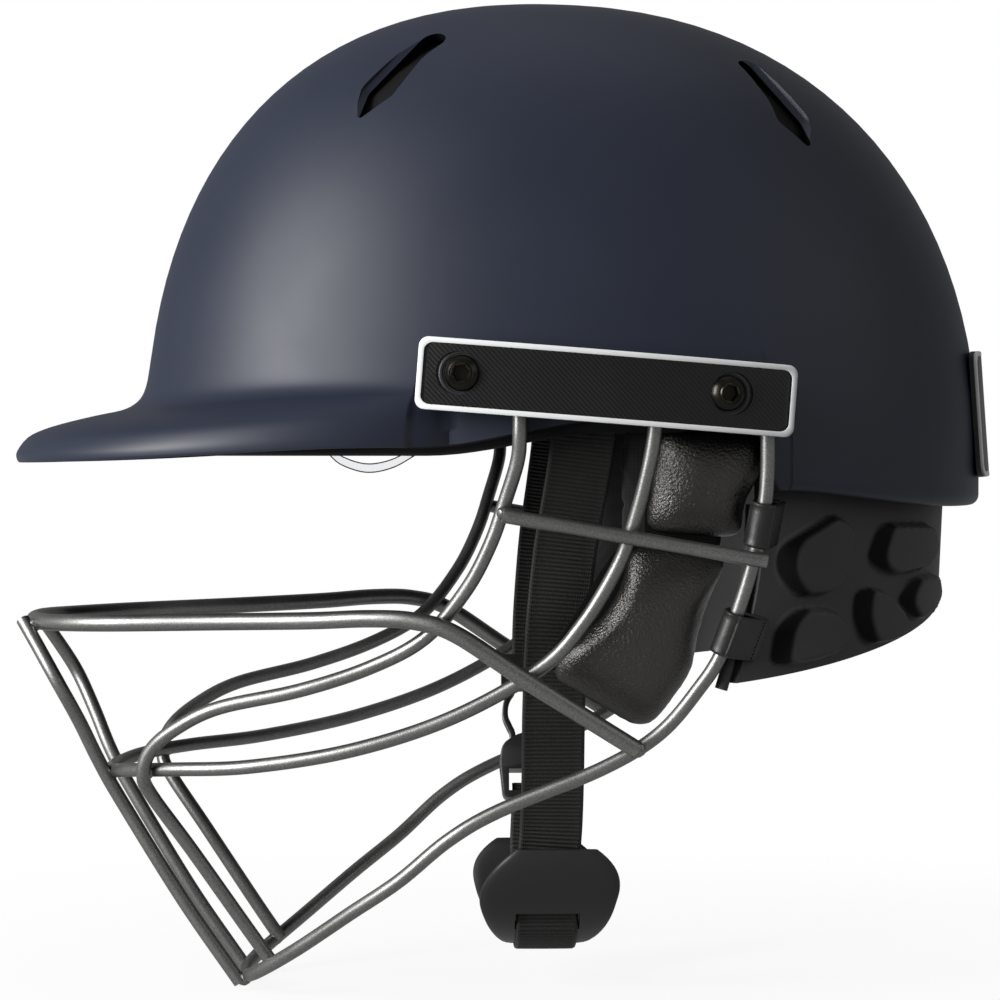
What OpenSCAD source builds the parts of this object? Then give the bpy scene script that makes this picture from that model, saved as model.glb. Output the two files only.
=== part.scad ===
// Cricket helmet with a steel face grille, cheek pads, neck guard and chin strap.
// Millimetres, +Z up, front of the helmet towards -X, wearer's left towards -Y.
// The origin is the middle of the head opening, at the height of the rim.

/* [Shell] */
// Distance from the middle of the head opening to the back of the shell
shell_rear = 145.5; // [138:0.5:152]
// Distance from the middle of the head opening to the brow, above the peak
shell_front = 131; // [124:0.5:137]
// Half of the shell's width, at the ears
shell_half_w = 99; // [95:0.5:104]
// Height of the crown above the widest line of the shell
crown_h = 154.5; // [146:0.5:163]
// Height of the widest line above the head opening
waist_z = 10; // [8:0.5:12]
// Wall of the moulded shell
shell_wall = 3; // [2.4:0.1:3.6]
// How far the peak stands out in front of the brow
peak_reach = 42; // [34:0.5:50]
// Length of the front vents, along the slope of the shell
vent_len = 42.5; // [36:0.5:46]
// Width of a vent
vent_w = 10.8; // [8:0.1:12]

/* [Lining] */
// Thickness of the foam liner
liner_t = 12; // [9:0.5:14]
// Thickness of the comfort pads inside the liner
pad_t = 6; // [4:0.5:8]
// Gap between soft or moulded layers that lie on each other
seat_gap = 0.3; // [0.25:0.05:0.4]

/* [Grille] */
// Diameter of the round steel bars
bar_d = 4.5; // [4:0.1:5]
// Diameter of the heavier top rail
rail_d = 5.5; // [5:0.1:6]

/* [Side plates] */
// Length of a side plate
plate_len = 113; // [108:0.5:118]
// Height of a side plate
plate_h = 22; // [20:0.5:24]
// Thickness of a side plate
plate_t = 3; // [2.6:0.1:3.6]
// Width of the raised white rim round a side plate
plate_rim = 1.7; // [1.2:0.1:2.4]
// Depth of the recess that holds the dark inset
inset_t = 1; // [0.8:0.1:1.2]
// Thread diameter of the grille screws
screw_d = 6; // [5:0.5:6]
// Diameter of the screw heads
head_d = 11; // [10:0.5:11.5]
// Thickness of the steel strip that the bars are welded to
bracket_t = 1.5; // [1.2:0.1:2]

// Height of the rear plate
rear_plate_h = 41; // [38:0.5:44]
// Width of the rear plate
rear_plate_w = 62; // [56:0.5:66]

/* [Neck guard] */
// Thickness of the rubber neck guard
guard_t = 4.5; // [3.5:0.5:5.5]
// How far the guard hangs below the rim at the sides
guard_drop = 53; // [46:0.5:58]
// How far the bosses stand out of the guard
boss_h = 3; // [2:0.5:4]

/* [Chin strap] */
// Width of the webbing
web_w = 20; // [18:0.5:22]
// Thickness of the webbing
web_t = 1.6; // [1.2:0.1:2]
// Wall of the rubber chin cup
cup_t = 3.5; // [3:0.1:4.5]

/* [Hidden] */
sides = 8;

// How many facets go round the shell and from its rim to its crown
ring_n = 48;
rise_n = 8;

// Sharpness of the shell's curves: 2 is an ellipse, more is squarer
plan_power = 2.1;
brow_power = 2.4;
nape_power = 2.25;

// How far in the liner and the pads lie, from the shell's outer face
liner_in = shell_wall + 3 * seat_gap;
pads_in = liner_in + liner_t + 4 * seat_gap;
// How far the liner shows below the rim, its soft edge, and where it rises over the guard
liner_drop = 3.5;
liner_edge = 4;
liner_rise_x = 40;
liner_rise_len = 20;
// Comfort pads: half of the angle that each spans, and its lower and upper edges as
// shares of the crown's height
front_pad_angle = 48;
front_pad_share = [0.04, 0.233];
side_pad_middle_angle = 88;
side_pad_angle = 24;
side_pad_share = [0.207, 0.375];
rear_pad_angle = 44;
rear_pad_share = [0.09, 0.337];
// Angle up the dome at which the crown's cushion starts
crown_pad_angle = 62;

// Height of the rim under the peak, at the temple, over the ear and at the nape
rim_peak_z = 12.6;
rim_temple_z = 17.4;
rim_ear_z = 26;
rim_nape_z = -1.5;
// Height of the step behind the ear, and how long the step and the nape's sweep are
rim_step_z = 4;
rim_step_len = 6;
rim_nape_len = 70;
// Place along the side where the rim has reached the temple, and from there to the ear
rim_temple_x = 42;
rim_ear_len = 62;
// Angle from the front at which the peak has run out into the side
peak_end_angle = 72;
// Where the rim steps down behind the ear, and how far in it curls at the nape
ear_rear_x = 67;
nape_curl = 6;

// The wall below this height carries the peak: height above the rim, share of
// the peak's reach, and the inward and downward steps that give the wall's thickness
peak_profile = [
    [36, 0, 1, 0], [27, 0.01, 1, 0], [22, 0.04, 1, 0.2], [19, 0.10, 0.9, 0.6],
    [17, 0.20, 0.5, 0.9], [15.4, 0.38, 0.15, 1], [13.2, 0.60, 0.15, 1],
    [10.8, 0.79, 0.3, 1], [8, 0.92, 0.8, 0.6], [3.5, 1, 1, 0], [1, 1, 1, -0.2], [0, 0.985, 0.9, -0.4]
];

// Vents of one side: angle from the front, share of the crown's height, turn from the
// slope and share of the front vent's length
vent_shares = [[51.3, 0.826, 10, 1], [146.7, 0.769, 5, 0.93]];
vent_tip = 3;

// The bar and strap routes were bent over a former of this half width; on a wider or
// narrower shell they move out or in with it, less and less towards the middle line
former_half_w = 99;
former_full_y = 50;
function spread(y) = y + (shell_half_w - former_half_w) * min(1, y / former_full_y);
function fitted(route) = [for (p = route) [p[0], spread(p[1]), p[2]]];

// The plates and brackets follow an arc over the ear
side_arc_r = 225;
side_arc_x = 3;
plate_x = 16.5;
plate_z = 35.5;
plate_tilt = 4.4;
// Distance between the two screws, as a share of the plate's length
screw_share = 0.708;
screw_pitch = screw_share * plate_len;
screw_mid_x = 12.3;
screw_mid_z = 36.6;
bracket_h = 14;
head_h = 3.3;
insert_d = 14;
insert_flange = 1.4;
insert_barrel_d = 8.5;
insert_barrel = 4.2;
insert_deep = 9;
spacer_d = 12;
spacer_seat = 0.9;
insert_seat = 0.85;
socket_d = 4.6;
socket_deep = 2;
plate_corner = 3;
// Layers of the side fixing, measured out from the shell
bracket_out = bar_d + seat_gap;
plate_out = bracket_out + bracket_t + 0.2;

// The rear plate follows an arc round the back of the shell and leans with it
rear_arc_r = 81;
rear_plate_z = 28.5;
rear_lean = 4;

// Grille routes: distance back, distance out from the middle, height. Each was
// bent by hand over a former, so the points follow no rule.
rail_route = [
    [-166.5, 0, -39], [-165, 15, -39], [-158, 29, -39], [-138.5, 44, -38.5], [-104, 57, -37.5],
    [-74, 70.5, -36.5], [-56, 78.5, -35.5], [-42, 83.5, -36], [-29, 86, -40], [-7, 85, -54.5],
    [27, 81, -76]
];
brow_route = [
    [-10, 101.2, 42], [-10, 101.2, 32], [-10, 101, 22], [-10.5, 98.5, 13.5], [-14, 94.5, 1.5],
    [-18.5, 91, -12], [-26, 86, -26.5], [-38.5, 78.5, -41.5], [-55.5, 72, -51],
    [-77.5, 66, -58.5], [-103, 57, -64.5], [-117, 51, -71.5], [-125.5, 46, -79],
    [-128, 43, -87], [-125.5, 39.5, -94], [-113, 35, -112], [-96, 31, -137], [-87, 29.5, -150]
];
middle_route = [
    [31, 99.8, 40], [31, 99.8, 32], [31, 99, 22], [28.5, 96, 7.5], [24.5, 91.5, -8], [20, 88, -20],
    [10, 83.5, -37], [-3, 80.5, -51], [-30.5, 76, -66.5], [-61.5, 69.5, -77],
    [-93.5, 58.5, -83], [-118, 45.5, -85], [-133, 31, -86.5], [-140, 15, -88], [-141.5, 0, -88.5]
];
chin_route = [
    [66, 92.7, 36], [66, 92.7, 28], [66, 92.5, 19], [66, 91.5, 9], [65, 90, -2], [61, 86.5, -22],
    [53.5, 81.5, -45], [46, 79, -57.5], [34, 77, -71.5], [16, 75.5, -82.5], [-15, 72, -95.5],
    [-31, 69.5, -105], [-46.5, 63.5, -118.5], [-62, 54, -130], [-79, 41, -143],
    [-91.5, 27, -152], [-97, 13, -156], [-98, 0, -157]
];
nose_route = [
    [-168.5, 22, -38.5], [-164, 26, -45.5], [-156.5, 30.5, -58], [-150, 26, -71],
    [-144, 21.5, -84.5], [-137, 19.5, -97.5], [-117, 17.5, -130.5], [-98.5, 17, -157.5]
];
strut_front = [-15, spread(98), -3.3];
strut_rear = [68.5, spread(91.5), -18];

// Cheek pads: corners as distance back and height, with the radius of each corner
upper_pad = [[36, 21, 5], [61.5, 19.5, 6], [61, 11, 5], [53, -8.5, 7], [29, -5, 6]];
lower_pad = [
    [24, -14, 8], [51.5, -18.5, 7], [46, -31, 8], [40, -40, 8], [27, -66.5, 9],
    [3.5, -54.5, 7], [2.5, -49.5, 6]
];
// The pads' outer and inner faces, and how far they lean in towards the jaw
cheek_in = 12.5;
cheek_t = 10;
cheek_plate_t = 2;
pad_out = shell_half_w - cheek_in;
pad_in = pad_out - cheek_t;
lining_t = 5;
cheek_lean = 9;
cheek_hinge_z = 10;
// Link between the two halves of the cheek plate: place, length and height
cheek_link = [30, -20, 22, 20];
// Section through a pad: share of its outline and share of its depth
pad_layers = [
    [0.9, 0], [0.99, 0.12], [1, 0.4], [0.99, 0.66], [0.93, 0.86], [0.84, 0.93],
    [0.6, 0.985], [0.25, 1]
];
flat_layers = [[1, 0], [1, 1]];

// Neck guard: top edge inside the shell, and how far it lies inside the shell's outer wall
guard_top_z = 23;
guard_in = 11.7;
guard_taper = 1.5;
guard_rise = 22;
guard_front_x = 69;
guard_front_low_x = 58.5;
// Bosses of one side: share of the way from the middle to the front edge, share of
// the height, and corners as distance forward, height and radius
guard_bosses = [
    [0.80, 0.38, [[12, 9, 5], [12, -12, 6], [-4, -13, 6], [-12, -8, 6], [-11, 12, 7], [-3, 12, 6]]],
    [0.80, 0.83, [[13, -9, 5], [-11, -7, 6], [-12, 7, 6], [0, 10, 6], [8, 7, 5]]],
    [0.48, 0.44, [[11, 5, 5], [9, -8, 6], [-11, -8, 4], [-11, 8, 4], [3, 9, 6]]],
    [0.57, 0.86, [[8, 9, 5], [9, -2, 5], [3, -10, 5], [-8, -8, 5], [-7, 5, 5], [0, 10, 5]]],
    [0.22, 0.74, [[7, 2, 4], [2, -8, 4], [-8, -4, 4], [-7, 7, 4], [3, 7, 3]]]
];
// Hook-and-loop tabs that tie the guard to the chin rail
tab_t = web_t - 0.2;
tab_w = 0.7 * web_w;
// Where a tab ends: share of the way to the guard's front edge and distance off it
tab_end_share = 0.9;
tab_lift = 6;
bead_d = guard_t - 0.5;
bead_share = 1.03;
bead_from_share = 0.3;
bead_to_share = 1.02;
// Heights of the tabs on the chin rail, and the share of the guard's height they meet
tabs = [[-7, 0.38], [-40, 0.82]];

// Clear film loop under the peak
film_route = [[-69.5, 70, 11.6], [-65.5, 70, 9.8], [-57, 70, 7.6], [-48, 70, 9], [-41, 70, 13]];
film_w = 5;
film_t = 0.6;

// Chin strap, from an anchor down to the cup: distance back, out and height
strap_points = [
    [11.5, 79, 38], [10.5, 77.5, 20], [8.5, 73.5, 5], [5.5, 66, -15], [3.3, 59, -40],
    [2.5, 53, -65], [2.5, 47, -87], [2.3, 42.1, -105]
];
strap_route = fitted(strap_points);
anchor = [11.5, spread(79), 32];
// Anchor disc and the pin that holds it to the shell
anchor_d = 16;
anchor_t = 2.5;
anchor_pin_d = 6;
// Chin cup: its middle, half of its breadth and its depth
cup_x = 1.5;
cup_z = -106;
cup_r = spread(43);
cup_deep = 40;
cup_w = 43;
// The webbing lies inside the cup down to a slot at this angle from its middle
slot_angle = 43;
slot_len = 9;
// Angle at which the cup ends, and how far it narrows towards its ends
cup_end_angle = 74;
cup_taper_share = 0.75;
// Buckle: heights of its middle and of the webbing's two ends, and its sizes
buckle_z = -66;
buckle_top_z = -58;
buckle_low_z = -98;
buckle_w = web_w + 7;
male_h = 12;
male_t = 7;
tongue = [4, 3, 12];
prong_len = 25;
prong_t = 5;
prong_in = 8;
prong_hook = 1.4;
// Female half: how far below the male half its mouth lies, its height and its walls
body_top = 10;
body_h = 30;
body_t = 9;
body_wall = 1.5;
window_z = 12;
window_h = 9;
socket_h = 6;

function unit(v) = v / norm(v);
function flip(p) = [p[0], -p[1], p[2]];
function backwards(l) = [for (i = [len(l) - 1:-1:0]) l[i]];
function mix(a, b, t) = a + (b - a) * t;
function clamp01(t) = min(1, max(0, t));
function ease(t) = let (c = clamp01(t)) c * c * (3 - 2 * c);

// A smooth curve through points, with n steps between neighbours
function through(p, n) =
    let (
        m = len(p),
        q = concat([2 * p[0] - p[1]], p, [2 * p[m - 1] - p[m - 2]])
    )
    concat(
        [for (i = [0:m - 2]) for (k = [0:n - 1])
            let (t = k / n, a = q[i], b = q[i + 1], c = q[i + 2], d = q[i + 3])
            0.5 * (2 * b + (c - a) * t + (2 * a - 5 * b + 4 * c - d) * t * t
                + (3 * b - a - 3 * c + d) * t * t * t)],
        [p[m - 1]]
    );

// A route that runs from one side of the helmet round its front to the other
function round_front(p) =
    p[0][1] == 0
        ? concat(backwards([for (i = [1:len(p) - 1]) flip(p[i])]), p)
        : concat([for (i = [0:len(p) - 1]) flip(p[i])], backwards([for (i = [0:len(p) - 2]) p[i]]));

function directions(p) =
    [for (i = [0:len(p) - 1]) unit(p[min(i + 1, len(p) - 1)] - p[max(i - 1, 0)])];

// Side vectors carried along a route without twisting
function carried(t, first) =
    [for (i = 0, u = unit(first - (first * t[0]) * t[0]);
        i < len(t);
        i = i + 1, u = i < len(t) ? unit(u - (u * t[i]) * t[i]) : u) u];

// Closed skin over a list of rings that all have the same number of points
module skin(rings) {
    n = len(rings[0]);
    m = len(rings);
    polyhedron(
        points = concat([for (r = rings) each r], [middle(rings[0]), middle(rings[m - 1])]),
        faces = concat(
            [for (i = [0:n - 1]) [i, (i + 1) % n, m * n]],
            [for (j = [0:m - 2]) for (i = [0:n - 1]) each [
                [j * n + i, (j + 1) * n + (i + 1) % n, j * n + (i + 1) % n],
                [j * n + i, (j + 1) * n + i, (j + 1) * n + (i + 1) % n]
            ]],
            [for (i = [0:n - 1]) [(m - 1) * n + (i + 1) % n, (m - 1) * n + i, m * n + 1]]
        ),
        convexity = 8
    );
}

// Closed solid between two sheets of points that have the same rows and columns
module slab(outer, inner) {
    m = len(outer);
    n = len(outer[0]);
    k = m * n;
    edge = concat(
        [for (j = [0:n - 1]) j],
        [for (i = [1:m - 1]) i * n + n - 1],
        [for (j = [n - 2:-1:0]) (m - 1) * n + j],
        [for (i = [m - 2:-1:1]) i * n]
    );
    polyhedron(
        points = concat([for (r = outer) each r], [for (r = inner) each r]),
        faces = concat(
            [for (i = [0:m - 2]) for (j = [0:n - 2]) each [
                [i * n + j, i * n + j + 1, (i + 1) * n + j + 1],
                [i * n + j, (i + 1) * n + j + 1, (i + 1) * n + j],
                [k + i * n + j, k + (i + 1) * n + j + 1, k + i * n + j + 1],
                [k + i * n + j, k + (i + 1) * n + j, k + (i + 1) * n + j + 1]
            ]],
            [for (e = [0:len(edge) - 1])
                let (a = edge[e], b = edge[(e + 1) % len(edge)])
                each [[b, a, k + a], [b, k + a, k + b]]]
        ),
        convexity = 8
    );
}

// Round bar along a route
module bar(route, d, n = 2) {
    p = through(route, n);
    t = directions(p);
    u = carried(t, abs(t[0][2]) > 0.7 ? [1, 0, 0] : [0, 0, 1]);
    skin([for (i = [0:len(p) - 1])
        let (v = cross(t[i], u[i]))
        [for (k = [0:sides - 1])
            let (a = 360 * (k + 0.5) / sides)
            p[i] + d / 2 * (cos(a) * u[i] + sin(a) * v)]]);
}

// Flat webbing along a route; flat_dir is the direction of its width
module webbing(route, flat_dir, w, t, n = 3) {
    p = through(route, n);
    dir = directions(p);
    skin([for (i = [0:len(p) - 1])
        let (
            u = unit(flat_dir - (flat_dir * dir[i]) * dir[i]),
            v = cross(dir[i], u)
        )
        [for (c = [[-1, -1], [1, -1], [1, 1], [-1, 1]])
            p[i] + c[0] * w / 2 * u + c[1] * t / 2 * v]]);
}

module on_left() {
    mirror([0, 1, 0]) children();
}

// Everything about the shell is worked out by the angle from the front and an inset

function half_len(a, inset) = (cos(a) > 0 ? shell_front : shell_rear) - inset;

function plan_r(a, inset) =
    1 / pow(
        pow(abs(cos(a)) / half_len(a, inset), plan_power)
            + pow(abs(sin(a)) / (shell_half_w - inset), plan_power),
        1 / plan_power
    );

function dome_power(a) = mix(nape_power, brow_power, (1 + cos(a)) / 2);

function at(a, r, z) = [-r * cos(a), r * sin(a), z];

// Radius of the dome at a height, for an angle and an inset
function dome_r(a, inset, z) =
    let (n = dome_power(a), h = clamp01((z - waist_z) / (crown_h - inset)))
    plan_r(a, inset) * pow(1 - pow(h, n), 1 / n);

function dome_point(a, inset, f) =
    let (n = dome_power(a))
    at(a, plan_r(a, inset) * pow(cos(f), 2 / n), waist_z + (crown_h - inset) * pow(sin(f), 2 / n));

// Height of the shell's rim round the helmet
function rim_z(a) =
    let (
        x = -plan_r(a, 0) * cos(a),
        front = mix(rim_peak_z, rim_temple_z, ease((x + shell_front) / (shell_front - rim_temple_x))),
        ear = mix(front, rim_ear_z, ease((x + rim_temple_x) / rim_ear_len)),
        drop = ease((x - ear_rear_x + rim_step_len / 2) / rim_step_len)
    )
    mix(ear, mix(rim_step_z, rim_nape_z, ease((x - ear_rear_x) / rim_nape_len)), drop);

function peak_at(a) =
    let (share = min(a, 360 - a, peak_end_angle) / peak_end_angle)
    peak_reach * pow(clamp01(cos(90 * share)), 0.85);

function curl_at(a) = nape_curl * ease((-plan_r(a, 0) * cos(a) - ear_rear_x) / 12);

// How far the curled rim draws in, at a height above the rim
function curl_in(level) =
    level >= nape_curl ? 0 : 1 - sqrt(1 - pow(1 - level / nape_curl, 2));

function wall_point(a, row, inner) =
    let (
        z = rim_z(a) + row[0],
        k = clamp01(peak_at(a) / 18),
        c = curl_at(a),
        r = dome_r(a, 0, z) + peak_at(a) * row[1] - c * curl_in(row[0]),
        in_r = shell_wall * mix(1, row[2], k),
        in_z = shell_wall * (k * row[3] - c / nape_curl * (row[0] < 4 ? 0.9 : 0))
    )
    inner ? at(a, r - in_r, z - in_z) : at(a, r, z);

// One upright cut through half of the shell, from the crown down and back up inside
function shell_cut(a) =
    let (
        top = rim_z(a) + peak_profile[0][0],
        n = dome_power(a),
        f0 = asin(pow((top - waist_z) / crown_h, n / 2)),
        steps = [for (i = [1:rise_n]) i / (rise_n + 1)],
        outer = [for (s = backwards(steps)) dome_point(a, 0, mix(f0, 90, s))],
        inner = [for (s = steps) dome_point(a, shell_wall, mix(f0, 90, s))]
    )
    concat(
        outer,
        [for (row = peak_profile) wall_point(a, row, false)],
        [for (row = backwards(peak_profile)) wall_point(a, row, true)],
        inner
    );

// Solid of cuts at even angles, closed at two points on the middle line
module turned(cuts, outer_top, inner_top) {
    n = len(cuts);
    m = len(cuts[0]);
    polyhedron(
        points = concat([for (c = cuts) each c], [outer_top, inner_top]),
        faces = concat(
            [for (i = [0:n - 1]) for (j = [0:m - 2]) each [
                [i * m + j, ((i + 1) % n) * m + j + 1, ((i + 1) % n) * m + j],
                [i * m + j, i * m + j + 1, ((i + 1) % n) * m + j + 1]
            ]],
            [for (i = [0:n - 1]) [n * m, i * m, ((i + 1) % n) * m]],
            [for (i = [0:n - 1]) [n * m + 1, ((i + 1) % n) * m + m - 1, i * m + m - 1]]
        ),
        convexity = 10
    );
}

// Place on the shell: angle from the front and height, with +Z along the way out
module on_shell(a, z, inset = 0) {
    r = dome_r(a, inset, z);
    slope = atan2(dome_r(a, inset, z - 1) - dome_r(a, inset, z + 1), 2);
    translate(at(a, r, z)) rotate([0, 0, 180 - a]) rotate([0, 90 - slope, 0]) children();
}

// A slot with a blunt upper end and a pointed tail, cut through the wall
module vent(a, z, turn, len) {
    on_shell(a, z)
        rotate([0, 0, turn])
            translate([0, 0, -shell_wall * 2.6])
                linear_extrude(shell_wall * 4.6)
                    hull() {
                        translate([vent_w * 0.42 - len / 2, 0]) circle(d = vent_w * 0.84, $fn = 20);
                        translate([len / 4, 0]) circle(d = vent_w, $fn = 20);
                        translate([len / 2 - vent_tip / 2, 0]) circle(d = vent_tip, $fn = 12);
                    }
}

// Places of the side plate's screws, on the arc over the ear
function screw_x(k) = screw_mid_x + k * screw_pitch / 2 * cos(plate_tilt);
function screw_z(k) = screw_mid_z - k * screw_pitch / 2 * sin(plate_tilt);
function arc_y(x, out) = shell_half_w - side_arc_r
    + sqrt(pow(side_arc_r + out, 2) - pow(x - side_arc_x, 2));
function arc_turn(x) = asin((x - side_arc_x) / side_arc_r);

// Distance out from the middle plane to the shell's face, at a place on its side
function shell_y(x, z) =
    let (
        a = atan2(shell_half_w, -x),
        n = dome_power(a),
        high = pow(1 - pow(clamp01((z - waist_z) / crown_h), n), plan_power / n)
    )
    shell_half_w * pow(high - pow(abs(x) / half_len(a, 0), plan_power), 1 / plan_power);

// Frames at the screws with +Z outwards: on the arc of the plates, or on the shell's face
module at_screws(on_face = false) {
    for (side = [0, 1]) mirror([0, side, 0]) for (k = [-1, 1])
        translate([
            screw_x(k), on_face ? shell_y(screw_x(k), screw_z(k)) : arc_y(screw_x(k), 0), screw_z(k)
        ])
            rotate([0, 0, -arc_turn(screw_x(k))]) rotate([-90, 0, 0]) children();
}

module outer_shell() {
    color([0.12, 0.16, 0.24])
        difference() {
            turned(
                [for (i = [0:ring_n - 1]) shell_cut(360 * i / ring_n)],
                [0, 0, waist_z + crown_h],
                [0, 0, waist_z + crown_h - shell_wall]
            );
            for (side = [0, 1]) mirror([0, side, 0]) for (v = vent_shares)
                vent(v[0], waist_z + v[1] * crown_h, v[2], v[3] * vent_len);
            at_screws() translate([0, 0, -4 * shell_wall])
                cylinder(h = 8 * shell_wall, d = screw_d + 2 * seat_gap, $fn = 24);
        }
}

// Lower edge of the liner: just below the shell's rim, but above the guard at the back
function liner_rim(a) =
    let (x = -plan_r(a, 0) * cos(a))
    mix(rim_z(a) - liner_drop, guard_top_z + 2 * seat_gap, ease((x - liner_rise_x) / liner_rise_len));

module impact_liner() {
    out = liner_in;
    in = out + liner_t;
    n = 40;
    steps = 7;
    color([0.09, 0.09, 0.1])
        difference() {
            turned(
                [for (i = [0:n - 1])
                    let (a = 360 * i / n, z0 = liner_rim(a), n_a = dome_power(a),
                        z1 = z0 + liner_edge, bevel = liner_t / 6,
                        f_out = asin(pow(clamp01((z1 - waist_z) / (crown_h - out)), n_a / 2)),
                        f_in = asin(pow(clamp01((z1 - waist_z) / (crown_h - in)), n_a / 2)))
                    concat(
                        [for (s = [steps:-1:1]) dome_point(a, out, mix(f_out, 90, s / (steps + 1)))],
                        [at(a, dome_r(a, out, z1), z1), at(a, dome_r(a, out + bevel, z0), z0)],
                        [at(a, dome_r(a, in - bevel, z0), z0), at(a, dome_r(a, in, z1), z1)],
                        [for (s = [1:steps]) dome_point(a, in, mix(f_in, 90, s / (steps + 1)))]
                    )],
                [0, 0, waist_z + crown_h - out],
                [0, 0, waist_z + crown_h - in]
            );
            at_screws(true) translate([0, 0, -shell_wall - insert_deep])
                cylinder(h = insert_deep + shell_wall, d = insert_d + 2, $fn = 20);
            for (side = [0, 1]) mirror([0, side, 0])
                translate([anchor[0], anchor[1] - liner_t / 2, anchor[2]])
                    rotate([-90, 0, 0]) {
                        cylinder(
                            h = liner_t / 2 + web_t / 2 + anchor_t + 0.7,
                            d = anchor_d + 4 * seat_gap, $fn = 24
                        );
                        cylinder(h = 2.5 * liner_t, d = anchor_pin_d + 1, $fn = 12);
                    }
        }
}

// Section of a cushioned band: share of its thickness and share of its height
band_section = [
    [0, 0], [0, 0.5], [0, 1], [0.55, 0.99], [0.9, 0.86], [1, 0.5], [0.9, 0.14], [0.55, 0.01]
];

// A cushioned band inside the liner, about an angle from the front
module band_pad(middle_a, half_a, share, n = 12) {
    out = pads_in;
    a0 = middle_a - half_a;
    a1 = middle_a + half_a;
    z0 = waist_z + share[0] * crown_h;
    z1 = waist_z + share[1] * crown_h;
    skin([for (i = [0:n])
        let (
            u = i / n,
            a = mix(a0, a1, u),
            full = pad_t * (0.45 + 0.55 * sqrt(1 - pow(2 * u - 1, 6))),
            draw = (z1 - z0) * 0.08 * pow(2 * u - 1, 4)
        )
        [for (q = band_section)
            let (z = mix(z0 + draw, z1 - draw, q[1]))
            at(a, dome_r(a, out, z) - full * q[0], z)]]);
}

module front_pad() {
    color([0.1, 0.1, 0.11]) band_pad(0, front_pad_angle, front_pad_share);
}

module side_pad_left() {
    color([0.1, 0.1, 0.11]) band_pad(-side_pad_middle_angle, side_pad_angle, side_pad_share, 8);
}

module side_pad_right() {
    color([0.1, 0.1, 0.11]) band_pad(side_pad_middle_angle, side_pad_angle, side_pad_share, 8);
}

module rear_pad() {
    color([0.1, 0.1, 0.11]) band_pad(180, rear_pad_angle, rear_pad_share);
}

// A round cushion under the crown
module crown_pad() {
    out = pads_in;
    n = 24;
    color([0.1, 0.1, 0.11])
        turned(
            [for (i = [0:n - 1])
                let (a = 360 * i / n)
                concat(
                    [for (f = [16, 8, 2]) dome_point(a, out, crown_pad_angle + f)],
                    [dome_point(a, out + pad_t * 0.5, crown_pad_angle)],
                    [for (f = [2, 8, 16]) dome_point(a, out + pad_t, crown_pad_angle + f)]
                )],
            [0, 0, waist_z + crown_h - out],
            [0, 0, waist_z + crown_h - out - pad_t]
        );
}

module top_rail() {
    color([0.5, 0.5, 0.52]) bar(round_front(fitted(rail_route)), rail_d);
}

module middle_rail() {
    color([0.5, 0.5, 0.52]) bar(round_front(fitted(middle_route)), bar_d);
}

module chin_rail() {
    color([0.5, 0.5, 0.52]) bar(round_front(fitted(chin_route)), bar_d);
}

module brow_bar_right() {
    color([0.5, 0.5, 0.52]) bar(fitted(brow_route), bar_d);
}

module brow_bar_left() {
    on_left() brow_bar_right();
}

module nose_bar_right() {
    color([0.5, 0.5, 0.52]) bar(fitted(nose_route), bar_d, 3);
}

module nose_bar_left() {
    on_left() nose_bar_right();
}

// Straight bar across the outside of the three side bars
module side_strut_right() {
    run = strut_rear - strut_front;
    color([0.5, 0.5, 0.52])
        translate(strut_front)
            rotate([0, 90 - asin(run[2] / norm(run)), atan2(run[1], run[0])])
                cylinder(h = norm(run), d = bar_d, $fn = 32);
}

module side_strut_left() {
    on_left() side_strut_right();
}

// A band of the arc over the ear, between two distances out from the shell
module arc_band(out, t) {
    translate([side_arc_x, shell_half_w - side_arc_r, -30])
        difference() {
            cylinder(h = 130, r = side_arc_r + out + t, $fn = 180);
            translate([0, 0, -1]) cylinder(h = 132, r = side_arc_r + out, $fn = 180);
        }
}

// A rounded rectangle pushed outwards through the side of the helmet
module side_block(len, h, corner) {
    translate([plate_x, 40, plate_z])
        rotate([0, plate_tilt, 0])
            rotate([-90, 0, 0])
                linear_extrude(100) rounded(len, h, corner);
}

module rounded(len, h, corner) {
    union() {
        square([len - 2 * corner, h], center = true);
        square([len, h - 2 * corner], center = true);
        for (x = [-1, 1]) for (y = [-1, 1])
            translate([x * (len / 2 - corner), y * (h / 2 - corner)]) circle(r = corner, $fn = 32);
    }
}

module grille_bracket_right() {
    color([0.45, 0.45, 0.47])
        difference() {
            intersection() {
                arc_band(bracket_out, bracket_t);
                side_block(plate_len - 3 * plate_corner, bracket_h, plate_corner + 1);
            }
            at_screws() cylinder(h = 30, d = screw_d + 0.4, $fn = 32);
        }
}

module grille_bracket_left() {
    on_left() grille_bracket_right();
}

module side_plate_right() {
    color([0.9, 0.9, 0.9])
        difference() {
            intersection() {
                arc_band(plate_out, plate_t);
                side_block(plate_len, plate_h, plate_corner);
            }
            intersection() {
                arc_band(plate_out + plate_t - inset_t, inset_t + 5);
                side_block(plate_len - 2 * plate_rim, plate_h - 2 * plate_rim, plate_corner - 1.2);
            }
            at_screws() cylinder(h = 30, d = screw_d + 0.4, $fn = 32);
        }
}

module side_plate_left() {
    on_left() side_plate_right();
}

// The dark inset lies in the plate's recess, level with the rim
module plate_inset_right() {
    gap = 0.05;
    color([0.07, 0.07, 0.08])
        difference() {
            intersection() {
                arc_band(plate_out + plate_t - inset_t, inset_t - 0.1);
                side_block(
                    plate_len - 2 * plate_rim - 2 * gap, plate_h - 2 * plate_rim - 2 * gap,
                    plate_corner - 1.2 - gap
                );
            }
            at_screws() cylinder(h = 30, d = head_d + 2, $fn = 48);
        }
}

module plate_inset_left() {
    on_left() plate_inset_right();
}

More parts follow.
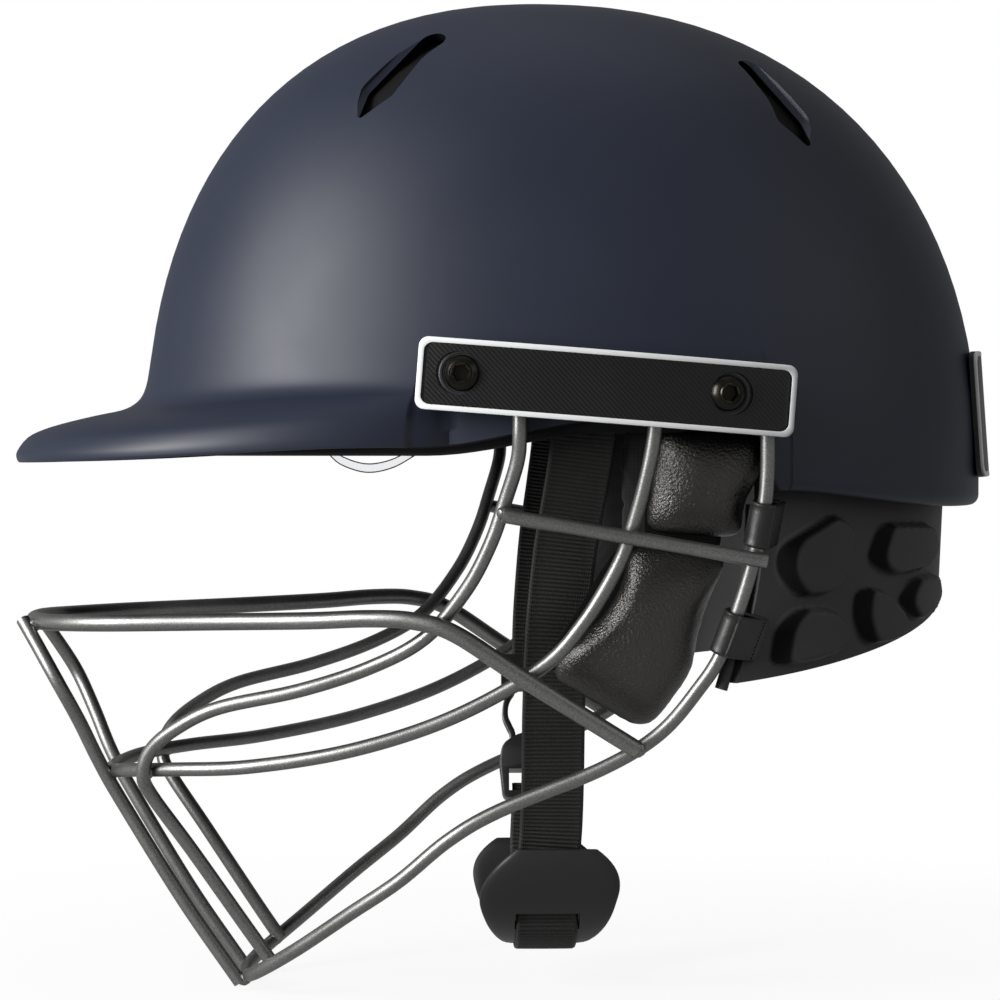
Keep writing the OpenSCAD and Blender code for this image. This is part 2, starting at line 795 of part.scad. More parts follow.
// Button-headed screws with a hexagon socket
module grille_screws() {
    seat = plate_out + plate_t - inset_t;
    color([0.16, 0.16, 0.17])
        at_screws()
            difference() {
                union() {
                    translate([0, 0, -shell_wall - insert_barrel - insert_flange])
                        cylinder(
                            h = seat + shell_wall + insert_barrel + insert_flange + 0.1,
                            d = screw_d, $fn = 32
                        );
                    translate([0, 0, seat + 0.02])
                        cylinder(h = head_h * 0.45, d = head_d, $fn = 48);
                    translate([0, 0, seat + 0.02 + head_h * 0.45])
                        cylinder(h = head_h * 0.55, d1 = head_d, d2 = head_d * 0.62, $fn = 48);
                }
                translate([0, 0, seat + head_h - socket_deep])
                    cylinder(h = 2 * socket_deep, d = socket_d, $fn = 6);
            }
}

// Rubber spacers between the shell and the bracket
module screw_spacers() {
    color([0.08, 0.08, 0.08])
        difference() {
            intersection() {
                at_screws(true)
                    translate([0, 0, spacer_seat]) cylinder(h = 20, d = spacer_d, $fn = 40);
                at_screws()
                    translate([0, 0, bracket_out - 10.1]) cylinder(h = 10, d = spacer_d + 1, $fn = 40);
            }
            at_screws() cylinder(h = 40, d = screw_d + 0.2, center = true, $fn = 32);
        }
}

// Flanged nuts that the screws turn into, inside the shell
module shell_inserts() {
    color([0.6, 0.6, 0.62])
        difference() {
            at_screws(true)
                translate([0, 0, -shell_wall - insert_seat - insert_flange]) {
                    cylinder(h = insert_flange, d = insert_d, $fn = 40);
                    translate([0, 0, insert_flange / 2 - insert_barrel])
                        cylinder(h = insert_barrel, d = insert_barrel_d, $fn = 32);
                }
            at_screws() cylinder(h = 40, d = screw_d + 0.04, center = true, $fn = 32);
        }
}

// Outline with rounded corners; each corner is two distances and a radius, which
// the length of the neighbouring sides limits
function soft_outline(c) =
    let (n = len(c))
    [for (i = [0:n - 1])
        let (
            p = [c[i][0], c[i][1]],
            a = [c[(i + n - 1) % n][0], c[(i + n - 1) % n][1]] - p,
            b = [c[(i + 1) % n][0], c[(i + 1) % n][1]] - p,
            r = min(c[i][2], 0.48 * norm(a), 0.48 * norm(b)),
            p0 = p + unit(a) * r,
            p1 = p + unit(b) * r
        )
        for (t = [0, 0.33, 0.67, 1])
            (1 - t) * (1 - t) * p0 + 2 * t * (1 - t) * p + t * t * p1];

function middle(o) = let (n = len(o)) [for (i = [0:n - 1]) 1] * o / n;

// A moulded pad: flat back, full sides and a crowned face
module moulded_pad(corners, y_in, y_out, layers, grow = 0) {
    o = soft_outline(corners);
    c = middle(o);
    skin([for (l = layers)
        [for (p = y_out > y_in ? o : backwards(o))
            let (d = p - c, q = c + d * (norm(d) * l[0] + grow) / norm(d))
            [q[0], mix(y_in, y_out, l[1]), q[1]]]]);
}

// The cheek pieces lean in towards the jaw, about a line level with the ear
module cheek_place() {
    translate([0, pad_out, cheek_hinge_z])
        rotate([-cheek_lean, 0, 0])
            translate([0, -pad_out, -cheek_hinge_z]) children();
}

module cheek_pad_upper_right() {
    color([0.13, 0.12, 0.12]) cheek_place() moulded_pad(upper_pad, pad_in, pad_out, pad_layers);
}

module cheek_pad_upper_left() {
    on_left() cheek_pad_upper_right();
}

module cheek_pad_lower_right() {
    color([0.13, 0.12, 0.12]) cheek_place() moulded_pad(lower_pad, pad_in, pad_out, pad_layers);
}

module cheek_pad_lower_left() {
    on_left() cheek_pad_lower_right();
}

// Stiff plate behind the two pads
module cheek_plate_right() {
    t = cheek_plate_t;
    color([0.06, 0.06, 0.06])
        cheek_place()
            union() {
                moulded_pad(upper_pad, pad_in - seat_gap - t, pad_in - seat_gap, flat_layers, 1);
                moulded_pad(lower_pad, pad_in - seat_gap - t, pad_in - seat_gap, flat_layers, 2);
                translate([cheek_link[0], pad_in - seat_gap - t, cheek_link[1]])
                    cube([cheek_link[2], t, cheek_link[3]]);
            }
}

module cheek_plate_left() {
    on_left() cheek_plate_right();
}

// Soft lining on the wearer's side of the cheek plate
module cheek_lining_right() {
    out = pad_in - 2 * seat_gap - cheek_plate_t;
    color([0.1, 0.1, 0.11])
        cheek_place() moulded_pad(lower_pad, out, out - lining_t, pad_layers);
}

module cheek_lining_left() {
    on_left() cheek_lining_right();
}

// Outer face of the neck guard
function guard_edge(f, v) =
    let (
        x = mix(guard_front_x, guard_front_low_x, pow(max(0, v - 0.4) / 0.6, 1.8)),
        a_front = 180 - atan2((shell_half_w - guard_in) * 0.905, x),
        a = 180 + f * (180 - a_front),
        y = abs(sin(a)) * plan_r(a, guard_in),
        low = -(guard_drop - guard_rise)
            - guard_rise * pow(clamp01(y / (shell_half_w - guard_in - 7)), 1.4)
    )
    [a, mix(guard_top_z, low, v)];

function guard_point(f, v, inset) =
    let (e = guard_edge(f, v), in = guard_in + guard_taper * clamp01(-e[1] / 33) + inset)
    at(e[0], plan_r(e[0], in), e[1]);

// A raised boss: steep sides, a bevelled edge and a flat top
module guard_boss(f, v, corners) {
    e = guard_edge(f, v);
    p = guard_point(f, v, 0);
    q = guard_point(f + 0.02, v, 0);
    o = backwards(soft_outline(corners));
    translate(p)
        rotate([0, 0, atan2(q[1] - p[1], q[0] - p[0])])
            rotate([90, 0, 0])
                skin([for (l = [[1.06, -3], [1, 0.4], [0.9, boss_h * 0.8], [0.82, boss_h]])
                    [for (c = o) [c[0] * l[0], c[1] * l[0], l[1]]]]);
}

module neck_guard() {
    n = 28;
    m = 7;
    color([0.1, 0.1, 0.1])
        union() {
            slab(
                [for (i = [0:n]) [for (j = [0:m]) guard_point(2 * i / n - 1, j / m, 0)]],
                [for (i = [0:n]) [for (j = [0:m]) guard_point(2 * i / n - 1, j / m, guard_t)]]
            );
            for (b = guard_bosses) {
                guard_boss(b[0], b[1], b[2]);
                mirror([0, 1, 0]) guard_boss(b[0], b[1], b[2]);
            }
        }
}

// Round beads along the guard's two front edges
module guard_beads() {
    color([0.1, 0.1, 0.1])
        for (s = [-1, 1])
            bar(
                [for (i = [0:5])
                    let (v = mix(bead_from_share, bead_to_share, i / 5))
                    guard_point(s * bead_share, v, guard_t / 2)],
                bead_d, 2
            );
}

// Hook-and-loop tab: webbing that passes round the chin rail, with both of its ends
// laid on the outside of the guard
module tab(z, v) {
    above = [for (p = through(fitted(chin_route), 12)) if (p[2] >= z) p];
    p = above[len(above) - 1];
    dir = unit(above[len(above) - 2] - p);
    end = guard_point(-tab_end_share, v, -tab_lift);
    run = [end[0] - p[0], end[1] - p[1], 0];
    back = unit(run);
    out = unit(cross(back, dir));
    r = bar_d / 2 + 2 * seat_gap + tab_t / 2;
    webbing(
        concat(
            [p + run + out * tab_t * 0.6],
            [for (b = [90:30:270]) p + r * (cos(b) * back + sin(b) * out)],
            [p + run - out * tab_t * 0.6]
        ),
        dir, tab_w, tab_t, 1
    );
}

module guard_tabs_right() {
    color([0.07, 0.07, 0.07]) for (t = tabs) tab(t[0], t[1]);
}

module guard_tabs_left() {
    on_left() guard_tabs_right();
}

// Plate at the back of the shell, bent to the shell's curve
module rear_band(out, t, w, h) {
    x0 = dome_r(180, 0, rear_plate_z);
    translate([x0 + 0.3, 0, rear_plate_z])
        rotate([0, -rear_lean, 0])
            intersection() {
                translate([-rear_arc_r, 0, -h])
                    difference() {
                        cylinder(h = 2 * h, r = rear_arc_r + out + t, $fn = 120);
                        translate([0, 0, -1]) cylinder(h = 2 * h + 2, r = rear_arc_r + out, $fn = 120);
                    }
                rotate([0, 90, 0])
                    rotate([0, 0, 90])
                        translate([0, 0, -30]) linear_extrude(60) rounded(w, h, plate_corner + 1);
            }
}

module rear_plate() {
    color([0.9, 0.9, 0.9])
        difference() {
            rear_band(0.1, 2.4, rear_plate_w, rear_plate_h);
            rear_band(1.5, 6, rear_plate_w - 2 * plate_rim, rear_plate_h - 2 * plate_rim);
        }
}

module rear_inset() {
    color([0.07, 0.07, 0.08])
        rear_band(1.5, 0.9, rear_plate_w - 2 * plate_rim - 0.1, rear_plate_h - 2 * plate_rim - 0.1);
}

// Thin clear band that hangs from the liner under the peak
module clear_loop() {
    color([0.85, 0.87, 0.9, 0.5]) webbing(fitted(film_route), [0, 1, 0], film_w, film_t, 3);
}

// Discs that hold the webbing's ends, on pins from the shell
module strap_anchors() {
    color([0.2, 0.2, 0.2])
        for (side = [0, 1]) mirror([0, side, 0])
            translate([anchor[0], anchor[1] + web_t / 2 + 0.2, anchor[2]])
                rotate([-90, 0, 0]) {
                    cylinder(h = anchor_t, d = anchor_d, $fn = 40);
                    cylinder(
                        h = dome_r(94, shell_wall, anchor[2]) - anchor[1] - web_t / 2 - 0.8,
                        d = anchor_pin_d, $fn = 32
                    );
                }
}

// Place on the cup's section: angle from its middle and distance in from its outer face
function cup_at(a, inset) = [cup_x, (cup_r - inset) * sin(a), cup_z - (cup_deep - inset) * cos(a)];

// The webbing inside the cup, out through the slot and on to the middle below it
under_cup = let (inside = cup_t + seat_gap + web_t / 2, outside = -seat_gap - web_t / 2)
    concat(
        [for (a = [cup_end_angle, cup_end_angle - 12, slot_angle + 7]) cup_at(a, inside)],
        [cup_at(slot_angle, cup_t / 2)],
        [for (a = [slot_angle - 7, 22]) cup_at(a, outside)]
    );

// The long strap runs from the left anchor under the cup and up to the buckle
module strap_long() {
    left = [for (p = concat(strap_route, under_cup)) flip(p)];
    right = backwards(under_cup);
    color([0.07, 0.07, 0.07])
        webbing(
            concat(
                left, [cup_at(0, -seat_gap - web_t / 2)], right,
                [strap_at(buckle_low_z - 4), strap_at(buckle_low_z)]
            ),
            [1, 0, 0], web_w, web_t
        );
}

function strap_at(z) =
    let (p = through(strap_route, 12), q = [for (r = p) if (r[2] <= z) r])
    len(q) > 0 ? q[0] : strap_route[len(strap_route) - 1];

module strap_short() {
    route = concat([for (r = strap_route) if (r[2] > buckle_top_z + 6) r], [strap_at(buckle_top_z)]);
    color([0.07, 0.07, 0.07]) webbing(route, [1, 0, 0], web_w, web_t);
}

// The buckle lies along the strap: local +Z up the strap, +Y outwards
module along_strap(z) {
    run = strap_route[5] - strap_route[6];
    translate(strap_at(z)) rotate([-atan2(run[1], run[2]), 0, 0]) children();
}

// A socket that the webbing's end lies in
module webbing_socket(deep) {
    translate([-web_w / 2 - 0.5, -web_t / 2 - 0.5, 0]) cube([web_w + 1, web_t + 1, deep]);
}

// Male half of the buckle: a bar for the webbing and a guide tongue
module buckle_frame() {
    color([0.08, 0.08, 0.08])
        along_strap(buckle_z)
            difference() {
                union() {
                    translate([-buckle_w / 2, -male_t / 2, 0]) cube([buckle_w, male_t, male_h]);
                    translate([-tongue[0] / 2, -tongue[1] / 2, -tongue[2]]) cube(tongue);
                }
                translate([0, 0, male_h - socket_h]) webbing_socket(socket_h + 2);
                translate([-prong_in, -male_t / 2 - body_wall, body_wall])
                    cube([2 * prong_in, male_t / 2, 2 * body_wall]);
            }
}

// Prong that springs into the female half's window
module prong(side) {
    out = buckle_w / 2 - body_wall - 0.2;
    hook_z = 5.4 - prong_len;
    color([0.08, 0.08, 0.08])
        along_strap(buckle_z)
            rotate([90, 0, 0])
                linear_extrude(prong_t, center = true)
                    mirror([side < 0 ? 1 : 0, 0])
                        polygon([
                            [prong_in, -seat_gap], [out, -seat_gap], [out, hook_z],
                            [out + prong_hook, hook_z - 0.2], [out + prong_hook, hook_z - 1.9],
                            [prong_in + 1.5, -prong_len], [prong_in, -prong_len],
                            [prong_in, hook_z - 0.4], [prong_in + 1, -14], [prong_in + 1, -6]
                        ]);
}

module prong_front() {
    prong(-1);
}

module prong_rear() {
    prong(1);
}

// Female half of the buckle: open at the top and at both windows
module buckle_body() {
    inner_t = body_t - 2 * body_wall;
    color([0.08, 0.08, 0.08])
        along_strap(buckle_z)
            translate([0, 0, -body_top])
                difference() {
                    translate([-buckle_w / 2 - 0.5, -body_t / 2, -body_h])
                        cube([buckle_w + 1, body_t, body_h]);
                    translate([-buckle_w / 2 + body_wall - 0.2, -inner_t / 2, window_z - body_h])
                        cube([buckle_w - 2 * body_wall + 0.4, inner_t, body_h]);
                    translate([-buckle_w / 2 - 1, -inner_t / 2, window_z - body_h])
                        cube([buckle_w + 2, inner_t, window_h]);
                    translate([0, 0, -body_h - 1]) webbing_socket(socket_h + 2);
                }
}

// The cup is bent round the chin, wider in the middle
module chin_cup() {
    n = 20;
    m = 4;
    half = [for (i = [0:n]) cup_w / 2 * sqrt(1 - pow(abs(2 * i / n - 1), 4) * cup_taper_share)];
    color([0.2, 0.2, 0.2])
        difference() {
            slab(
                [for (i = [0:n]) cup_row(cup_end_angle * (2 * i / n - 1), half[i], m, 0)],
                [for (i = [0:n]) cup_row(cup_end_angle * (2 * i / n - 1), half[i], m, cup_t)]
            );
            for (side = [-1, 1])
                translate(cup_at(side * slot_angle, cup_t / 2))
                    rotate([side * slot_angle, 0, 0])
                        cube([web_w + 1, slot_len, 3 * cup_t], center = true);
        }
}

function cup_row(a, half, m, inset) =
    [for (j = [0:m]) cup_at(a, inset) + [half * (2 * j / m - 1), 0, 0]];

outer_shell();
impact_liner();
front_pad();
crown_pad();
side_pad_left();
side_pad_right();
rear_pad();
top_rail();
middle_rail();
chin_rail();
brow_bar_left();
brow_bar_right();
nose_bar_left();
nose_bar_right();
side_strut_left();
side_strut_right();
grille_bracket_left();
grille_bracket_right();
side_plate_left();
side_plate_right();
plate_inset_left();
plate_inset_right();
grille_screws();
screw_spacers();
shell_inserts();
cheek_pad_upper_left();
cheek_pad_upper_right();
cheek_pad_lower_left();
cheek_pad_lower_right();
cheek_plate_left();
cheek_plate_right();
cheek_lining_left();
cheek_lining_right();
neck_guard();
guard_beads();
guard_tabs_left();
guard_tabs_right();
rear_plate();
rear_inset();
clear_loop();
strap_anchors();
strap_long();
strap_short();
buckle_frame();
prong_front();
prong_rear();
buckle_body();
chin_cup();
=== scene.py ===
# Cricket helmet with a steel face grille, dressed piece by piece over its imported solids.
# Sizes are written in millimetres and become metres when a mesh is made. +Z is up,
# the peak points towards -X and the wearer's left is towards -Y.
import math

import bmesh
import bpy
import numpy as np
from mathutils import Euler, Matrix, Vector


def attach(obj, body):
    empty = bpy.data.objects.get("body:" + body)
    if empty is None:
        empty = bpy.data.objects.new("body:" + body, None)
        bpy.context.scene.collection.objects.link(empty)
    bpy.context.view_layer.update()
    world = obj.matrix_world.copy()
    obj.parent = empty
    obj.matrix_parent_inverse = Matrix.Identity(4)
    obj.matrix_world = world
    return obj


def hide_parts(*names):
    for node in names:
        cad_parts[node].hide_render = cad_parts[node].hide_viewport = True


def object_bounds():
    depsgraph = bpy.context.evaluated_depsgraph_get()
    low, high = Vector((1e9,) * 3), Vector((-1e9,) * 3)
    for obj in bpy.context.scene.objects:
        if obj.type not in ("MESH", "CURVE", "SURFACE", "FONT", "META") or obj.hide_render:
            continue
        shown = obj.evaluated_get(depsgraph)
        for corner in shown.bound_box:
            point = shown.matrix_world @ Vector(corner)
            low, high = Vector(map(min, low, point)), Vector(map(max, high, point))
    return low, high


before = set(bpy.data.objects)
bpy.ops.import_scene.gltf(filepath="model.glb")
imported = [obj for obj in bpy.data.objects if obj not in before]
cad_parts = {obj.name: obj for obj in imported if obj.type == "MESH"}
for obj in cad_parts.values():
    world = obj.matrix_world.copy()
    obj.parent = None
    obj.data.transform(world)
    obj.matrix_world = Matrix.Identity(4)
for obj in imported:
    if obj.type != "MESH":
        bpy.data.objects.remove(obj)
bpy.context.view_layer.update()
SIDES = (("right", 1), ("left", -1))


# The view: a long lens level with the ear, square to the wearer's left side and a
# touch from the front, as in a catalogue picture of such a helmet.
EYE = (-44.8, -1095.3, 15.4)
AIM = (-13.0, 0.0, 0.0)
LENS = 118.7


def in_scene(name, data):
    made = bpy.data.objects.new(name, data)
    bpy.context.scene.collection.objects.link(made)
    return made


camera = in_scene("view_camera", bpy.data.cameras.new("view_camera"))
camera.data.lens = LENS
camera.data.sensor_width = 36
camera.data.clip_start = 0.05
camera.data.clip_end = 50
camera.location = Vector(EYE) * 0.001
camera.rotation_euler = (Vector(AIM) - Vector(EYE)).to_track_quat("-Z", "Y").to_euler()
bpy.context.scene.camera = camera


# Outer shell: injection-moulded black ABS, sprayed outside in a matt navy with a very fine
# grain. The dome runs out into the peak in one sweep, the rim is drawn in at the nape, and
# the band over the ear is set back for the plate. Four vents have chamfered mouths.
SHELL_REAR = 145.5
SHELL_FRONT = 130.2
SHELL_HALF_W = 99.0
CROWN_H = 153.4
WAIST_Z = 10.0
SHELL_WALL = 3.0
PEAK_REACH = 42.0
PEAK_END = 72.0
EAR_FRONT_X = -42.0
EAR_RISE = 62.0
EAR_REAR_X = 67.0
NAPE_CURL = 3.5
EAR_BAND = (66.4, 130.6)
EAR_SET_BACK = 0.55
RIM_FRONT = (12.6, 17.4)
RIM_EAR = 26
RIM_NAPE = (4, -1.5)
PEAK_ROWS = [
    (36, 0, 1, 0), (27, 0.01, 1, 0), (22, 0.04, 1, 0.2), (19, 0.10, 0.9, 0.6),
    (17, 0.20, 0.5, 0.9), (15.4, 0.38, 0.15, 1), (13.2, 0.60, 0.15, 1),
    (10.8, 0.79, 0.3, 1), (8, 0.92, 0.8, 0.6), (3.5, 1, 1, 0), (1, 1, 1, -0.2), (0, 0.985, 0.9, -0.4),
]
VENTS = [(49.3, 0.820, 10, 42.5), (146.7, 0.772, 5, 39.5)]
VENT_W = 12.4
VENT_TIP = 3.0
CLIMB = 25


def mix(a, b, t):
    return a + (b - a) * t


def ease(t):
    t = min(1.0, max(0.0, t))
    return t * t * (3 - 2 * t)


def sind(a):
    return math.sin(math.radians(a))


def cosd(a):
    return math.cos(math.radians(a))


def smooth_route(points, steps):
    """A smooth curve through the points, with that many steps between neighbours."""
    p = np.array(points, float)
    q = np.vstack([2 * p[0] - p[1], p, 2 * p[-1] - p[-2]])
    out = []
    for i in range(len(p) - 1):
        a, b, c, d = q[i:i + 4]
        for k in range(steps):
            t = k / steps
            out.append(0.5 * (2 * b + (c - a) * t + (2 * a - 5 * b + 4 * c - d) * t * t
                              + (3 * b - a - 3 * c + d) * t ** 3))
    return np.array(out + [p[-1]])


def plan_radius(a, inset):
    """How far the shell's plan reaches at an angle from the front, for an inset."""
    length = (SHELL_FRONT if cosd(a) > 0 else SHELL_REAR) - inset
    return ((abs(cosd(a)) / length) ** 2.1 + (abs(sind(a)) / (SHELL_HALF_W - inset)) ** 2.1) ** (-1 / 2.1)


def dome_power(a):
    return mix(2.25, 2.36, (1 + cosd(a)) / 2)


def on_plan(a, r, z):
    return (-r * cosd(a), r * sind(a), z)


def dome_radius(a, inset, z):
    n = dome_power(a)
    h = min(1.0, max(0.0, (z - WAIST_Z) / (CROWN_H - inset)))
    return plan_radius(a, inset) * (1 - h ** n) ** (1 / n)


def dome_point(a, inset, f):
    n = dome_power(a)
    return on_plan(a, plan_radius(a, inset) * cosd(f) ** (2 / n),
                   WAIST_Z + (CROWN_H - inset) * sind(f) ** (2 / n))


def rim_height(a):
    x = -plan_radius(a, 0) * cosd(a)
    front = mix(*RIM_FRONT, ease((x + SHELL_FRONT) / (SHELL_FRONT + EAR_FRONT_X)))
    ear = mix(front, RIM_EAR, ease((x - EAR_FRONT_X) / EAR_RISE))
    return mix(ear, mix(*RIM_NAPE, ease((x - EAR_REAR_X) / 70)), ease((x - EAR_REAR_X + 3) / 6))


def wall_point(a, row, inner):
    """A point of the upright wall that carries the peak, outside or inside."""
    z = rim_height(a) + row[0]
    turn = min(a, 360 - a, PEAK_END) * 90 / PEAK_END
    peak = PEAK_REACH * max(0.0, cosd(turn)) ** 0.85
    k = min(1.0, peak / 18)
    curl = NAPE_CURL * ease((-plan_radius(a, 0) * cosd(a) - EAR_REAR_X) / 12)
    drawn = 0 if row[0] >= NAPE_CURL else 1 - math.sqrt(1 - (1 - row[0] / NAPE_CURL) ** 2)
    r = dome_radius(a, 0, z) + peak * row[1] - curl * drawn
    if inner:
        down = SHELL_WALL * (k * row[3] - curl / NAPE_CURL * (0.9 if row[0] < 4 else 0))
        return on_plan(a, r - SHELL_WALL * mix(1, row[2], k), z - down)
    side = min(a, 360 - a)
    if EAR_BAND[0] <= side <= EAR_BAND[1]:
        r -= EAR_SET_BACK * (1 - ease((z - 33) / 5))
    return on_plan(a, r, z)


def unit(rows):
    return rows / np.linalg.norm(rows, axis=-1, keepdims=True)


def turned(x, y, z):
    return Euler([math.radians(a) for a in (x, y, z)]).to_matrix().to_4x4()


def band_faces(rows, cols, closed, first=0):
    """Quads over rows of points; closed joins each row's last point to its first."""
    return [(first + r * cols + c, first + r * cols + (c + 1) % cols,
             first + (r + 1) * cols + (c + 1) % cols, first + (r + 1) * cols + c)
            for r in range(rows - 1) for c in range(cols if closed else cols - 1)]


def link(mesh, name, finish, crease=35):
    """Links a mesh as a piece at the origin: merged, normals outwards, smooth but for its edges."""
    loose = bmesh.new()
    loose.from_mesh(mesh)
    bmesh.ops.remove_doubles(loose, verts=loose.verts, dist=1e-6)
    bmesh.ops.recalc_face_normals(loose, faces=loose.faces)
    loose.to_mesh(mesh)
    loose.free()
    mesh.polygons.foreach_set("use_smooth", [True] * len(mesh.polygons))
    mesh.set_sharp_from_angle(angle=math.radians(crease))
    if finish and not mesh.materials:
        mesh.materials.append(finish)
    return in_scene(name, mesh)


def moulded(name, points, faces, finish, crease=35):
    """A piece from points in millimetres and faces."""
    mesh = bpy.data.meshes.new(name)
    mesh.from_pydata((np.asarray(points, float) * 0.001).tolist(), [], [tuple(f) for f in faces])
    return link(mesh, name, finish, crease)


def skinned(name, rings, finish, crease=35):
    """A closed skin over rings of points, with a fan over each end."""
    rings = [np.asarray(r, float) for r in rings]
    n, m = len(rings[0]), len(rings)
    points = np.vstack(rings + [rings[0].mean(0), rings[-1].mean(0)])
    faces = band_faces(m, n, True)
    faces += [((i + 1) % n, i, m * n) for i in range(n)]
    faces += [((m - 1) * n + i, (m - 1) * n + (i + 1) % n, m * n + 1) for i in range(n)]
    return moulded(name, points, faces, finish, crease)


def cut_out(piece, tool):
    """Takes the tool's shape out of the piece and removes the tool."""
    cut = piece.modifiers.new("cut", "BOOLEAN")
    cut.operation = "DIFFERENCE"
    cut.solver = "EXACT"
    if tool.data.materials:
        cut.material_mode = "TRANSFER"
    cut.object = tool
    baked = made_plain(piece)
    bpy.data.objects.remove(tool)
    return baked


def made_plain(piece, crease=35):
    """Replaces a piece by the plain mesh that its modifiers give."""
    graph = bpy.context.evaluated_depsgraph_get()
    mesh = bpy.data.meshes.new_from_object(piece.evaluated_get(graph))
    name = piece.name
    bpy.data.objects.remove(piece)
    mesh.name = name
    return link(mesh, name, None, crease)


def nodes_of(tree):
    """A maker for a tree's nodes: it sets or joins their inputs, and takes a node for its first output."""
    shapes = ("GeometryNode",) if tree.bl_idname == "GeometryNodeTree" else ()
    families = (*shapes, "ShaderNode", "FunctionNode", "")

    def add(kind, inputs=None, **settings):
        made = tree.nodes.new(next(f + kind for f in families if hasattr(bpy.types, f + kind)))
        for key, value in settings.items():
            setattr(made, key, value)
        for key, value in (inputs or {}).items():
            if isinstance(value, bpy.types.Node):
                value = value.outputs[0]
            if isinstance(value, bpy.types.NodeSocket):
                tree.links.new(value, made.inputs[key])
            else:
                made.inputs[key].default_value = value
        return made
    return add


def emptied(owner):
    """The maker for the nodes of a material or a world."""
    owner.use_nodes = True
    owner.node_tree.nodes.clear()
    return nodes_of(owner.node_tree)


def calc(add, operation, a, b=0.5):
    return add("Math", {0: a, 1: b}, operation=operation)


def tint(add, share, low, high):
    """A colour between two others, which are sockets or three numbers."""
    pair = [(*c, 1) if isinstance(c, tuple) else c for c in (low, high)]
    return add("Mix", {"Factor": share, 6: pair[0], 7: pair[1]}, data_type="RGBA").outputs[2]


def ramp(add, value, low, high, to_low=0.0, to_high=1.0):
    return add("MapRange", {"Value": value, "From Min": low, "From Max": high,
                            "To Min": to_low, "To Max": to_high})


def here(add):
    return add("TexCoord").outputs["Object"]


def speckle(add, size, detail, roughness):
    """Noise with features of a size in millimetres."""
    return add("TexNoise", {"Vector": here(add), "Scale": calc(add, "DIVIDE", 1000.0, size),
                            "Detail": detail, "Roughness": roughness})


def new_group(name, kind, inputs, outputs):
    """An empty node group, its maker and its inputs; a socket is given by its kind or its value."""
    tree = bpy.data.node_groups.new(name, kind + "NodeTree")
    for side, sockets in (("INPUT", inputs), ("OUTPUT", outputs)):
        for label, value in sockets.items():
            plain = isinstance(value, str)
            what = value if plain else {float: "Float", int: "Int", tuple: "Vector"}[type(value)]
            made = tree.interface.new_socket(label, in_out=side, socket_type="NodeSocket" + what)
            if not plain:
                made.default_value = value
    add = nodes_of(tree)
    return tree, add, add("NodeGroupInput").outputs


def settle(piece, slot, node=None, body="helmet"):
    """Hides the imported solid that a piece stands for and hangs the piece on the body it rides on; the
    slot, what it is made of, is not used.
    """
    if node:
        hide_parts(node)
    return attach(piece, body)


def recoat(finish, *nodes):
    """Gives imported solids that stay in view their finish."""
    for node in nodes:
        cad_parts[node].data.materials.clear()
        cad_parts[node].data.materials.append(finish)


# Grain: a fine even texture and a slow mottling, both over the piece's own coordinates
grain_group, add, given = new_group("surface grain", "Shader", {"Size mm": 0.6, "Mottle mm": 30.0},
                                    {"Height": "Float", "Mottle": "Float"})
fine = speckle(add, given["Size mm"], 2.0, 0.6)
add("NodeGroupOutput", {"Height": fine, "Mottle": speckle(add, given["Mottle mm"], 3.0, 0.5)})

# Edge wear: where an edge stands proud, broken up by a small noise
wear_group, add, given = new_group("edge wear", "Shader", {"Amount": 0.5, "Break mm": 4.0},
                                   {"Mask": "Float"})
proud = ramp(add, add("NewGeometry").outputs["Pointiness"], 0.52, 0.60)
broken = ramp(add, speckle(add, given["Break mm"], 4.0, 0.5), 0.42, 0.62)
both = calc(add, "MULTIPLY", proud, broken)
add("NodeGroupOutput", {"Mask": calc(add, "MULTIPLY", both, given["Amount"])})


def finish_of(name, colours, roughness, grain, bump, mottle=30.0, wear=0.0, worn=(0.3, 0.3, 0.3),
              extra=None, **shader):
    """A finish from a light and a dark tone of its colour, a roughness range and a grain.
    extra(add, base, height) may change the colour and height sockets; shader values are plain."""
    made = bpy.data.materials.new(name)
    add = emptied(made)
    body = add("BsdfPrincipled")
    add("OutputMaterial", {"Surface": body})
    texture = add("Group", {"Size mm": grain, "Mottle mm": mottle}, node_tree=grain_group)
    base = tint(add, texture.outputs["Mottle"], *colours)
    if wear:
        base = tint(add, add("Group", {"Amount": wear}, node_tree=wear_group), base, worn)
    height = texture.outputs["Height"]
    if extra:
        base, height = extra(add, base, height)
    shine = ramp(add, texture.outputs["Mottle"], 0.3, 0.7, *roughness)
    lift = add("Bump", {"Height": height, "Strength": bump[0], "Distance": bump[1] * 0.001})
    for socket, value in (("Base Color", base), ("Roughness", shine), ("Normal", lift)):
        made.node_tree.links.new(getattr(value, "outputs", [value])[0], body.inputs[socket])
    for key, value in shader.items():
        body.inputs[key.replace("_", " ")].default_value = value
    return made


navy_shell = finish_of(
    "matt navy shell", ((0.0085, 0.0125, 0.0270), (0.0110, 0.0155, 0.0320)), (0.48, 0.54), 0.30,
    (0.08, 0.05), mottle=45, wear=0.25, worn=(0.03, 0.035, 0.05), Specular_IOR_Level=0.45)
# Near black: the bare ABS of the shell's inside, and painted shade in the vents, under the rim and on the
# cheek plates.
bare_black_and_shade = finish_of(
    "black ABS inside", ((0.0016, 0.0016, 0.0018), (0.0028, 0.0028, 0.0031)), (0.55, 0.7), 0.4,
    (0.1, 0.05), Specular_IOR_Level=0.2)


